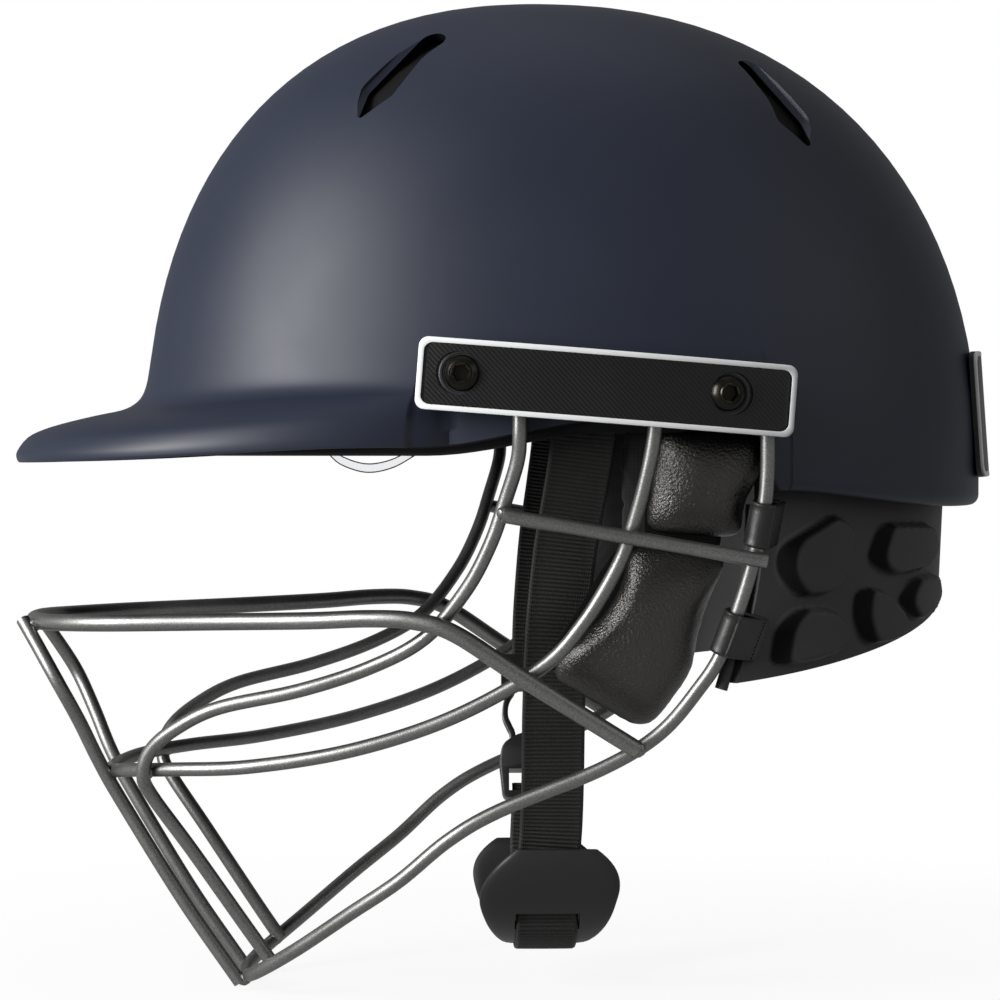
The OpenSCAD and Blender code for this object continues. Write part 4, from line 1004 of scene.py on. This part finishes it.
pocket = [(5.9, -0.05), (5.95, 0.22), (6.2, 0.34), (6.8, 0.34), (7.05, 0.2), (7.1, -0.05)]
points = [(r * cosd(a), r * sind(a), z) for r, z in pocket for a in range(0, 360, 5)]
one_ring = moulded("pocket_ring", points, band_faces(6, 72, True), black_base)
for name, model, finish, crease, slot, node in (
        ("screw_pockets", one_ring, black_base, 35, "inset", None),
        ("grille_screw_heads", button_head(), black_oxide, 30, "screw", "grille_screws")):
    piece = grown(name, screw_tree, spots, {"Head": model, "Finish": finish}, edges=False, crease=crease,
                  marks={"out": ways})
    bpy.data.objects.remove(model)
    settle(piece, slot, node)
recoat(dark_rubber, "screw_spacers")
recoat(plated, "shell_inserts")


# Cheek pads: two foam blocks a side, moulded in a pebbled black leather skin with full
# rounded sides, on a stiff black plate; a soft knitted lining faces the wearer's cheek.
PAD_OUT = SHELL_HALF_W - 12.5
PAD_IN = PAD_OUT - 10
LINING_T = 5.0
LINING_GAP = 2.2
CORNER_STEPS = 7
CHEEK_LEAN = 9.0
PEBBLES = 1250.0
UPPER_PAD = [(33, 23, 6), (67, 22, 6), (67, 9, 5), (61, -2, 8), (60, -13.5, 7), (28.5, -11, 6)]
LOWER_PAD = [
    (25.5, -12.5, 7), (57.5, -16.5, 7), (50.5, -33, 9), (47.5, -45, 12), (45.5, -56, 12), (31, -75.5, 8),
    (0.5, -57.5, 6), (1.5, -49.5, 5), (19.5, -33.5, 12)]
COVER_IN = 0.4
PAD_SIDES = [(0.97, 0), (1, 0.10), (0.99, 0.24), (0.97, 0.37), (0.93, 0.51), (0.87, 0.63), (0.78, 0.76),
             (0.66, 0.87), (0.5, 0.95), (0.3, 0.99), (0.12, 1)]
LINING_PAD = [(22, 23, 6), (60, 21, 7), (57, -12, 9), (48, -34, 9), (43, -44, 9), (29, -70, 10),
              (4, -57, 7), (4, -50, 6), (22, -18, 9)]


def soft_outline(corners):
    """Outline with rounded corners; a corner is two distances and a radius."""
    out = []
    n = len(corners)
    for i, (x, y, r) in enumerate(corners):
        p = np.array((x, y))
        a = np.array(corners[i - 1][:2]) - p
        b = np.array(corners[(i + 1) % n][:2]) - p
        la, lb = np.linalg.norm(a), np.linalg.norm(b)
        r = min(r, 0.48 * la, 0.48 * lb)
        p0, p1 = p + a / la * r, p + b / lb * r
        for k in range(CORNER_STEPS + 1):
            t = k / CORNER_STEPS
            out.append((1 - t) ** 2 * p0 + 2 * t * (1 - t) * p + t * t * p1)
    return np.array(out)


def leaned(x, y, z, s):
    """The cheek pieces lean in towards the jaw, about a line level with the ear."""
    dy, dz = y - PAD_OUT, z - 10
    return (x, s * (PAD_OUT + dy * cosd(CHEEK_LEAN) + dz * sind(CHEEK_LEAN)),
            10 - dy * sind(CHEEK_LEAN) + dz * cosd(CHEEK_LEAN))


def cheek_block(name, corners, y_in, y_out, s, finish):
    o = soft_outline(corners)
    c = o.mean(0)
    rings = []
    for share, depth in PAD_SIDES:
        d = o - c
        far = np.linalg.norm(d, axis=1, keepdims=True)
        q = c + d * (far * share - COVER_IN) / far
        rings.append([leaned(x, mix(y_in, y_out, depth), z, s) for x, z in q])
    return skinned(name, rings, finish)


def pebbles(add, base, height):
    """Pebbled leather: rounded grains with darker creases between them."""
    cells = add("TexVoronoi", {"Vector": here(add), "Scale": PEBBLES}, feature="SMOOTH_F1")
    level = ramp(add, cells, 0, 0.9, 1, 0)
    return tint(add, level, (0.006, 0.006, 0.006), base), calc(add, "ADD", level, height)


pebbled = finish_of(
    "pebbled black leather", ((0.0035, 0.0032, 0.0026), (0.0075, 0.0067, 0.0053)), (0.27, 0.35), 0.4,
    (0.95, 0.20), mottle=18, wear=0.2, worn=(0.03, 0.028, 0.025), extra=pebbles, Specular_IOR_Level=0.88,
    Specular_Tint=(1.0, 0.97, 0.93, 1))

pads = []
for side, s in SIDES:
    pads += [cheek_block("cheek_cover_%s_%s" % (label, side), corners, PAD_IN, PAD_OUT - 0.5, s, pebbled)
             for label, corners in (("upper", UPPER_PAD), ("lower", LOWER_PAD))]
    pads.append(cheek_block("cheek_lining_cover_" + side, LINING_PAD, PAD_IN - LINING_GAP - 0.5,
                            PAD_IN - LINING_GAP - LINING_T, s, pad_knit))
pads = plumped(pads, voxel=1.6, cap=0.6)
for piece in pads:
    cover, side = piece.name.rsplit("_", 1)
    node = {"cheek_cover_upper": "cheek_pad_upper_", "cheek_cover_lower": "cheek_pad_lower_",
            "cheek_lining_cover": "cheek_lining_"}[cover] + side
    lining = cover == "cheek_lining_cover"
    settle(piece, "comfort_pad" if lining else "cheek_leather", node)
# Painted shade: the cheek plates take the near-black finish for the shadow that the pads cast on them.
recoat(bare_black_and_shade, "cheek_plate_right", "cheek_plate_left")


# Neck guard: soft black rubber moulded in one piece with raised bosses, hung inside the
# shell's rim behind the ears. Its outer face carries the bosses as one skin.
GUARD_T = 4.5
GUARD_TOP = 23.0
GUARD_IN = 11.7
GUARD_DROP = 56.0
GUARD_RISE = 25.0
GUARD_FRONT_X = (69, 58.5)
GUARD_DRAW = 1.5
GUARD_DRAW_Z = 33
ROLL_AT = (0.3, 0.45, 0.6, 0.75, 0.9, 1.02)
BOSS_H = 3.4
BOSS_SLOPE = 6.0
BOSS_EDGE = 1.5
GUARD_BOSSES = [
    (0.806, 0.547, [(-5, 15, 5), (-13, 11, 5), (-12.5, -2, 6), (-6, -11, 6), (9, -11.5, 6), (15, -3, 5),
                    (14, 5, 4)]),
    (0.433, 0.590, [(16, 9.5, 5), (-14, 9, 6), (-19, 1, 5), (-13, -5.5, 6), (10, -8, 6), (21, -3, 5)]),
    (0.791, 0.856, [(5, 9, 5), (-9, 8.5, 6), (-16, 2, 5), (-12, -6, 6), (0, -9, 6), (14, -9.5, 4),
                    (12, 3, 5)]),
    (0.529, 0.862, [(11, 10, 4), (0, 10, 5), (-9, 4, 5), (-15, -4, 4), (-6, -8, 5), (8, -8.5, 5),
                    (12, 0, 4)]),
    (0.333, 0.845, [(9, 6, 4), (-10, 8, 4), (-15, 0, 4), (-6, -7, 5), (7, -8, 5), (15, -1, 4)]),
]


def guard_edge(f, v):
    """Angle and height of a place on the guard: share round it and share down it."""
    x = mix(*GUARD_FRONT_X, (max(0, v - 0.4) / 0.6) ** 1.8)
    a_front = 180 - math.degrees(math.atan2((SHELL_HALF_W - GUARD_IN) * 0.905, x))
    a = 180 + f * (180 - a_front)
    y = abs(sind(a)) * plan_radius(a, GUARD_IN)
    low = -(GUARD_DROP - GUARD_RISE) - GUARD_RISE * min(1, y / (SHELL_HALF_W - GUARD_IN - 7)) ** 1.3
    return a, mix(GUARD_TOP, low, v)


def guard_point(f, v, inset):
    a, z = guard_edge(f, v)
    return on_plan(a, plan_radius(a, GUARD_IN + GUARD_DRAW * min(1, max(0, -z / GUARD_DRAW_Z)) + inset), z)


def depth_inside(points, outline):
    """How far each point lies inside a closed outline; below nought outside it."""
    a = outline[None]
    b = np.roll(outline, -1, axis=0)[None]
    p = points[:, None]
    ab = b - a
    t = np.clip(((p - a) * ab).sum(2) / np.maximum((ab ** 2).sum(2), 1e-9), 0, 1)
    near = np.sqrt((((p - a) - t[..., None] * ab) ** 2).sum(2)).min(1)
    turn = ((a[..., 1] > p[..., 1]) != (b[..., 1] > p[..., 1])) & (
        p[..., 0] < (b[..., 0] - a[..., 0]) * (p[..., 1] - a[..., 1])
        / (b[..., 1] - a[..., 1] + 1e-12) + a[..., 0])
    return np.where(turn.sum(1) % 2 == 1, near, -near)


def painted_flank_shade(add, base, height):
    """Painted shade: the sloping flank on one side of each boss is tinted near black and its specular
    turned down, standing in for the shade that falls there.
    """
    mark = add("Attribute", attribute_name="flank").outputs["Fac"]
    tree = mark.id_data
    gloss = ramp(add, mark, 0, 1, 0.35, 0.05)
    tree.links.new(gloss.outputs[0], tree.nodes["Principled BSDF"].inputs["Specular IOR Level"])
    return tint(add, mark, base, (0.010, 0.010, 0.0107)), height


guard_rubber = finish_of(
    "black guard rubber", ((0.048, 0.048, 0.0515), (0.058, 0.058, 0.0615)), (0.50, 0.6), 0.35,
    (0.12, 0.06), wear=0.3, worn=(0.06, 0.06, 0.063), extra=painted_flank_shade)

cols, rows = 560, 92
spread = [(2 * i / (cols - 1) - 1, j / (rows - 1)) for j in range(rows) for i in range(cols)]
outer = np.array([guard_point(f, v, 0) for f, v in spread])
inner = np.array([guard_point(f, v, GUARD_T) for f, v in spread])
outward = unit(outer - inner)
lift = np.zeros(len(outer))
flank = np.zeros(len(outer))
for f, v, corners in GUARD_BOSSES:
    for s in (1, -1):
        p = np.array(guard_point(s * f, v, 0))
        along = np.array(guard_point(s * (f + 0.02), v, 0)) - p
        along[2] = 0
        along = unit(along)
        local = np.stack([(outer - p) @ along, outer[:, 2] - p[2]], 1)
        close = (np.abs(local).max(1) < 22) & ((outer - p) @ outward[np.argmin(
            np.linalg.norm(outer - p, axis=1))] > -14)
        outline = soft_outline(corners)
        side = np.clip(depth_inside(local[close], outline) / BOSS_EDGE, 0, 1)
        slope = np.clip(1 + depth_inside(local[close], outline - (BOSS_SLOPE, 0)) / BOSS_SLOPE, 0, 1)
        lift[close] = np.maximum(lift[close], BOSS_H * np.minimum(side, slope))
        # The one-sided slope of each boss is marked here for its painted shade.
        flank[close] = np.maximum(flank[close], np.clip((1 - slope) * 6, 0, 1) * np.clip(side * 2, 0, 1))
outer = outer + outward * lift[:, None]
k = cols * rows
faces = band_faces(rows, cols, False) + [tuple(reversed(f)) for f in band_faces(rows, cols, False, k)]
edge = (list(range(cols)) + [i * cols + cols - 1 for i in range(1, rows)]
        + [(rows - 1) * cols + j for j in range(cols - 2, -1, -1)]
        + [i * cols for i in range(rows - 2, 0, -1)])
faces += [(b, a, k + a, k + b) for a, b in zip(edge, edge[1:] + edge[:1])]
guard = moulded("guard_moulding", np.vstack([outer, inner]), faces, guard_rubber, 60)
shade = guard.data.attributes.new("flank", "FLOAT", "POINT")
shade.data.foreach_set("value", np.concatenate([flank, 0 * flank]))
settle(guard, "guard", "neck_guard")

rolls = [rod("guard_roll_" + side, [guard_point(1.03 * s, v, GUARD_T / 2) for v in ROLL_AT], 6, 4,
             guard_rubber, 16) for side, s in SIDES]
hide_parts("guard_beads")
for roll in rolls:
    settle(roll, "guard")


# Chin strap: black polyester webbing, woven with close ribs and a firm edge. The long
# strap runs from the left anchor through the cup's slots and up to the buckle.
WEB_W = 20.0
WEB_T = 1.6
RIB_PITCH = 1.35
THREAD_PITCH = 0.7
STRAP_ROUTE = [
    (11.5, 79, 38), (10.5, 77.5, 20), (8.5, 73.5, 5), (5.5, 66, -15), (3.3, 59, -40),
    (2.5, 53, -65), (2.5, 46.5, -87), (2.3, 40.3, -104),
]
CUP_X = 1.5
CUP_Z = -107.2
CUP_R = 43.0
CUP_DEEP = 40.0
CUP_W = 45.0
CUP_UNDER = 27.0
CUP_NEAR_END = 83.5
CUP_FAR_END = 75.0
CUP_T = 3.5
SLOT_AT = 43.0


def woven(add, base, height):
    """Threads along the webbing and a rib at each pick, with a flat firm edge on both sides. The colour
    darkens to near black in the ribs' valleys: painted shade.
    """
    place = add("UVMap", uv_map="UVMap").outputs[0]
    pick = ribs(add, place, (0, 1, 0), RIB_PITCH)
    level = calc(add, "MULTIPLY", ribs(add, place, (1, 0, 0), THREAD_PITCH), pick)
    # Painted shade: the colour falls to near black in the valleys between the ribs and keeps the base tone
    # on their crests.
    seat = ramp(add, pick, 0.25, 0.9)
    lit = tint(add, seat, (0.0012, 0.0012, 0.0012), base)
    off_middle = calc(add, "ABSOLUTE", add("SeparateXYZ", {"Vector": place}))
    selvedge = ramp(add, off_middle, WEB_W * 0.00044, WEB_W * 0.00047)
    return tint(add, selvedge, lit, (0.015, 0.014, 0.0125)), calc(add, "ADD", level, height)


black_webbing = finish_of(
    "black ribbed webbing", ((0.013, 0.0125, 0.0113), (0.021, 0.0200, 0.0182)), (0.5, 0.62), 0.3,
    (0.6, 0.2), mottle=25, extra=woven, Specular_IOR_Level=0.35)


def webbing(name, route, flat, width, thick, finish, ribbed=True):
    """Flat webbing along a route: rounded edges, a rib at each pick, and its own UV map."""
    line = smooth_route(route, 10)
    run = np.concatenate([[0], np.cumsum(np.linalg.norm(np.diff(line, axis=0), axis=1))])
    at = np.arange(0, run[-1], RIB_PITCH / 4)
    path = np.stack([np.interp(at, run, line[:, i]) for i in range(3)], 1)
    go = unit(np.gradient(path, axis=0))
    flat = np.array(flat, float)
    wide = unit(flat - (go @ flat)[:, None] * go)
    out = np.cross(go, wide)
    half = [(-1, 0), (-0.985, 0.55), (-0.94, 0.86), (-0.9, 1), (-0.86, 0.93), (-0.6, 0.96), (-0.3, 0.98),
            (0, 0.99), (0.3, 0.98), (0.6, 0.96), (0.86, 0.93), (0.9, 1), (0.94, 0.86), (0.985, 0.55)]
    section = half + [(-u, -v) for u, v in half]
    ribs = 0.22 * np.abs(np.sin(math.pi * at / RIB_PITCH)) if ribbed else 0 * at
    rings = [path + wide * u * width / 2
             + out * (v * thick / 2 - np.sign(v) * (0.16 - ribs) * (abs(u) < 0.88))[:, None]
             for u, v in section]
    n = len(section)
    points = np.stack(rings, 1).reshape(-1, 3)
    faces = band_faces(len(path), n, True) + [tuple(range(n)), tuple((len(path) - 1) * n + i
                                                                     for i in range(n - 1, -1, -1))]
    piece = moulded(name, points, faces, finish, 50)
    uv = piece.data.uv_layers.new(name="UVMap")
    where = [(section[i % n][0] * width / 2000, at[i // n] * 0.001) for i in range(len(points))]
    for loop in piece.data.loops:
        uv.data[loop.index].uv = where[min(loop.vertex_index, len(where) - 1)]
    return piece


def cup_at(a, inset):
    """Place on the cup's section: angle from its middle and distance in from its face."""
    return (CUP_X, (CUP_R - inset) * sind(a), CUP_Z - (CUP_DEEP - inset) * cosd(a))


def strap_below(z):
    return next(tuple(p) for p in smooth_route(STRAP_ROUTE, 12) if p[2] <= z)


INSIDE = CUP_T + 0.3 + WEB_T / 2
OUTSIDE = -0.3 - WEB_T / 2
UNDER_CUP = ([cup_at(a, INSIDE) for a in (74, 62, SLOT_AT + 7)] + [cup_at(SLOT_AT, CUP_T / 2)]
             + [cup_at(a, OUTSIDE) for a in (SLOT_AT - 7, 22)])
long_route = (flip(STRAP_ROUTE + UNDER_CUP) + [cup_at(0, OUTSIDE)] + UNDER_CUP[::-1]
              + [strap_below(-102), strap_below(-98)])
long_strap = webbing("long_strap", long_route, (1, 0, 0), WEB_W, WEB_T, black_webbing)
short_route = [p for p in STRAP_ROUTE if p[2] > -52] + [strap_below(-58)]
short_strap = webbing("short_strap", short_route, (1, 0, 0), WEB_W, WEB_T, black_webbing)
for piece, node in ((long_strap, "strap_long"), (short_strap, "strap_short")):
    settle(piece, "webbing", node, "chin_strap")


# Guard tabs: short lengths of webbing that pass round the chin rail and are stitched down
# on both faces of the neck guard.
TAB_W = 14.0
TAB_T = 1.4
TAB_LEN = 11.5
TAB_AT = -0.955
TABS = ((-7, 0.38), (-40, 0.82))


def tab_route(z, v):
    """From the guard's face round the chin rail at a height and back, and the rail's direction there."""
    above = [p for p in smooth_route(CHIN_ROUTE, 12) if p[2] >= z]
    p = above[-1]
    go = unit(above[-2] - p)
    run = np.array(guard_point(TAB_AT, v, -2)) - p
    run -= (run @ go) * go
    back = unit(run)
    run = back * TAB_LEN
    out = unit(np.cross(back, go))
    r = BAR_D / 2 + 0.6 + TAB_T / 2
    loop = [p + r * (cosd(b) * back + sind(b) * out) for b in range(90, 271, 15)]
    return [p + run + out * TAB_T * 0.6, *loop, p + run - out * TAB_T * 0.6], go


black_tab = finish_of(
    "black stitched tab", ((0.0060, 0.0058, 0.0055), (0.0110, 0.0106, 0.0100)), (0.38, 0.5), 0.5,
    (0.6, 0.15), mottle=6, wear=0.5, worn=(0.06, 0.058, 0.055))
stitch_grey = finish_of(
    "grey thread", ((0.06, 0.058, 0.055), (0.11, 0.106, 0.10)), (0.5, 0.6), 0.3, (0.2, 0.03))

for side, s in SIDES:
    pieces = []
    for k, (z, v) in enumerate(TABS):
        route, go = tab_route(z, v)
        seams = []
        for end, beside in ((route[0], route[1]), (route[-1], route[-2])):
            face = np.cross(beside - end, go)
            face *= (TAB_T / 2 + 0.05) / np.linalg.norm(face) * (1 if face @ (end - route[7]) > 0 else -1)
            spot = end + (beside - end) * 0.16
            seams.append([spot + face + go * across for across in (-5.8, -3, 0, 3, 5.8)])
        flat = flip([go], s)[0]
        pieces.append(webbing("guard_tab_%d_%s" % (k, side), flip(route, s), flat, TAB_W, TAB_T, black_tab,
                              ribbed=False))
        for n, seam in enumerate(seams):
            pieces.append(grown("tab_stitches_%d%d_%s" % (k, n, side), dots_tree, flip(seam, s),
                                {"Pitch": 0.0011, "Radius": 0.0003, "Finish": stitch_grey}))
    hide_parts("guard_tabs_" + side)
    for piece in pieces:
        settle(piece, "webbing")


# Chin cup: soft black rubber, bent round the chin, with a rounded edge all round and
# a slot on each side for the webbing.
cup_rubber = finish_of(
    "chin cup rubber", ((0.0125, 0.0121, 0.0118), (0.0180, 0.0174, 0.0170)), (0.42, 0.52), 0.5,
    (0.2, 0.08), wear=0.3, worn=(0.05, 0.048, 0.045), Specular_IOR_Level=0.45)


def cup_mesh():
    n, m = 80, 12
    rings = []
    for i in range(n + 1):
        u = 2 * i / n - 1
        wing = mix(CUP_UNDER, CUP_W, ease(abs(u) / 0.74)) / 2
        half = wing * (1 - max(0, (abs(u) - 0.70) / 0.30) ** 2.4 * 0.42)
        soft = 1 - max(0, abs(u) - 0.96) / 0.04 * 0.5
        lean = ease((abs(u) - 0.62) / 0.38) * (2.6 if u < 0 else -1.5)
        ring = []
        for k in range(2 * m):
            a = 360 * k / (2 * m)
            x = half * math.copysign(abs(cosd(a)) ** 0.35, cosd(a))
            d = CUP_T / 2 - soft * CUP_T / 2 * math.copysign(abs(sind(a)) ** 0.6, sind(a))
            p = cup_at((CUP_NEAR_END if u < 0 else CUP_FAR_END) * u, d)
            ring.append((p[0] + x + lean, p[1], p[2]))
        rings.append(ring)
    return skinned("cup_moulding", rings, cup_rubber, 50)


cup = cup_mesh()
for s in (1, -1):
    hole = [(x * (WEB_W + 1) / 2, y * 4.5) for x, y in ((-1, -1), (1, -1), (1, 1), (-1, 1))]
    tool = skinned("slot_tool", [[(x, y, z) for x, y in hole] for z in (-6, 6)], None)
    spot = Matrix.Translation(Vector(cup_at(s * SLOT_AT, CUP_T / 2)) * 0.001)
    tool.data.transform(spot @ turned(s * SLOT_AT, 0, 0))
    cup = cut_out(cup, tool)
settle(cup, "chin_rubber", "chin_cup", "chin_strap")


# Buckle: the female half and the two bowed arms of a side-release buckle in black acetal.
# Its male frame and the anchor discs that pin the webbing to the shell stay as packed.
BUCKLE_AT = (2.5, 52.5, -66.95)
BUCKLE_LEAN = 15.3
BODY_OUTLINE = [(-7, -15.5, 3), (7, -15.5, 3), (13.6, -19.5, 3), (14.4, -26, 2), (13.2, -38.5, 2.5),
                (-13.2, -38.5, 2.5), (-14.4, -26, 2), (-13.6, -19.5, 3)]
ARM = [(-9.8, -0.5), (-10, -1.3), (-11.4, -3.5), (-12.2, -6.5), (-12.2, -10), (-10.9, -13.2),
       (-9.8, -16), (-9.6, -22)]


def buckled(x, y, z):
    """A point of the buckle: across the webbing, outwards and up along it."""
    return (BUCKLE_AT[0] + x, BUCKLE_AT[1] + y * cosd(BUCKLE_LEAN) + z * sind(BUCKLE_LEAN),
            BUCKLE_AT[2] - y * sind(BUCKLE_LEAN) + z * cosd(BUCKLE_LEAN))


def buckle_block(name, outline, sides, finish):
    o = np.array(outline)
    c = o.mean(0)
    return skinned(name, [[buckled(x, y, z) for x, z in c + (o - c) * k] for k, y in sides], finish)


acetal = finish_of(
    "black acetal", ((0.010, 0.010, 0.011), (0.015, 0.015, 0.016)), (0.28, 0.4), 0.4, (0.1, 0.04),
    wear=0.3, worn=(0.05, 0.05, 0.05))
recoat(acetal, "buckle_frame", "strap_anchors")
body = buckle_block("buckle_shell", soft_outline(BODY_OUTLINE),
                    [(0.955, -4.5), (0.985, -4.3), (1, -3.7), (1, 3.7), (0.985, 4.3), (0.955, 4.5)], acetal)
for hole, deep in (([(-12.3, -27), (12.3, -27), (12.3, -9), (-12.3, -9)], 3),
                   ([(-11.2, -36), (11.2, -36), (11.2, -28.5), (-11.2, -28.5)], 9)):
    body = cut_out(body, buckle_block("buckle_hole", hole, [(1, -deep), (1, deep)], None))
settle(body, "buckle", "buckle_body", "chin_strap")
for k, node in ((1, "prong_front"), (-1, "prong_rear")):
    across = np.subtract(buckled(0, 1, 0), buckled(0, 0, 0))
    arm = webbing(node + "_arm", [buckled(k * x, 0, z) for x, z in ARM], across, 5, 2.0, acetal,
                  ribbed=False)
    settle(arm, "buckle", node, node)


# Clear loop: a band of thin clear film that hangs from the liner under the peak, with a
# thin dark rod along each edge as painted shade for the dark lines that the film's edges show.
LOOP_ROUTE = [(-71.8, 71, 17), (-66.8, 71, 12.9), (-58, 71, 10.3), (-48.8, 71, 12.0), (-39.8, 71, 17)]

clear_film = finish_of(
    "clear film", ((0.92, 0.94, 0.95), (0.96, 0.97, 0.98)), (0.03, 0.06), 2.0, (0.05, 0.05),
    Transmission_Weight=1.0, IOR=1.45)
painted_edge_shade = finish_of(
    "welded edge of the film", ((0.02, 0.02, 0.022), (0.05, 0.05, 0.052)), (0.1, 0.2), 1.0, (0.05, 0.02))
loop = webbing("film_loop", LOOP_ROUTE, (0, 0.8, 0.6), 5, 0.4, clear_film, ribbed=False)
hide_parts("clear_loop")
edges = [rod("film_edge_%d" % (k > 0), [(x, y + 2 * k, z + 1.5 * k) for x, y, z in LOOP_ROUTE], 10, 0.4,
             painted_edge_shade, 8, 1) for k in (-1, 1)]
for piece in (loop, *edges):
    settle(piece, "clear_film")


# Floor, backdrop and lamps: a white table under a white surround, one large soft lamp
# off the peak's end, a weaker one off the nape and one overhead.
low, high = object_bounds()
ground = bpy.data.meshes.new("floor")
ground.from_pydata([(-6, -6, 0), (6, -6, 0), (6, 6, 0), (-6, 6, 0)], [], [(0, 1, 2, 3)])
ground.transform(Matrix.Translation((0, 0, low.z - 0.001)))
floor = in_scene("floor", ground)


def shown(add, glossy):
    """Light that the camera sees in full, also through clear film, and a reflection in part."""
    sees = add("LightPath").outputs
    straight = calc(add, "MAXIMUM", sees["Is Camera Ray"], sees["Is Transmission Ray"])
    return calc(add, "MAXIMUM", straight, calc(add, "MULTIPLY", sees["Is Glossy Ray"], glossy))


paper = bpy.data.materials.new("white paper")
add = emptied(paper)
place = here(add)
far = add("VectorMath", {0: place}, operation="LENGTH")
fade = ramp(add, far.outputs["Value"], 0.12, 0.42)
speck = add("TexNoise", {"Vector": place, "Scale": 400.0})
lit = add("BsdfDiffuse", {"Color": tint(add, speck, (0.80, 0.80, 0.80), (0.84, 0.84, 0.84))})
glow = add("Emission", {"Color": (1, 1, 1, 1), "Strength": shown(add, 0.45)})
share = ramp(add, fade, 0, 1, 0.88, 1)
add("OutputMaterial", {"Surface": add("MixShader", {"Fac": share, 1: lit, 2: glow})})
floor.data.materials.append(paper)

SKY = 0.24
world = bpy.data.worlds.new("studio")
bpy.context.scene.world = world
add = emptied(world)
air = add("Background", {"Color": (1, 1, 1, 1), "Strength": calc(add, "MAXIMUM", shown(add, SKY), SKY)})
add("OutputWorld", {"Surface": air})

for label, spot, size, tall, power in (("key", (-1.42, -0.80, 0.46), 0.6, 1.15, 50.0),
                                       ("fill", (1.4, -0.8, 0.7), 1.0, 1.0, 2.6),
                                       ("top", (0.1, 0.2, 1.7), 1.2, 1.2, 2.0)):
    lamp = in_scene(label, bpy.data.lights.new(label, "AREA"))
    lamp.data.shape = "RECTANGLE"
    lamp.data.size = size
    lamp.data.size_y = tall
    lamp.data.energy = power
    lamp.location = spot
    lamp.rotation_euler = (-Vector(spot)).to_track_quat("-Z", "Y").to_euler()
bpy.context.scene.view_settings.view_transform = "Standard"
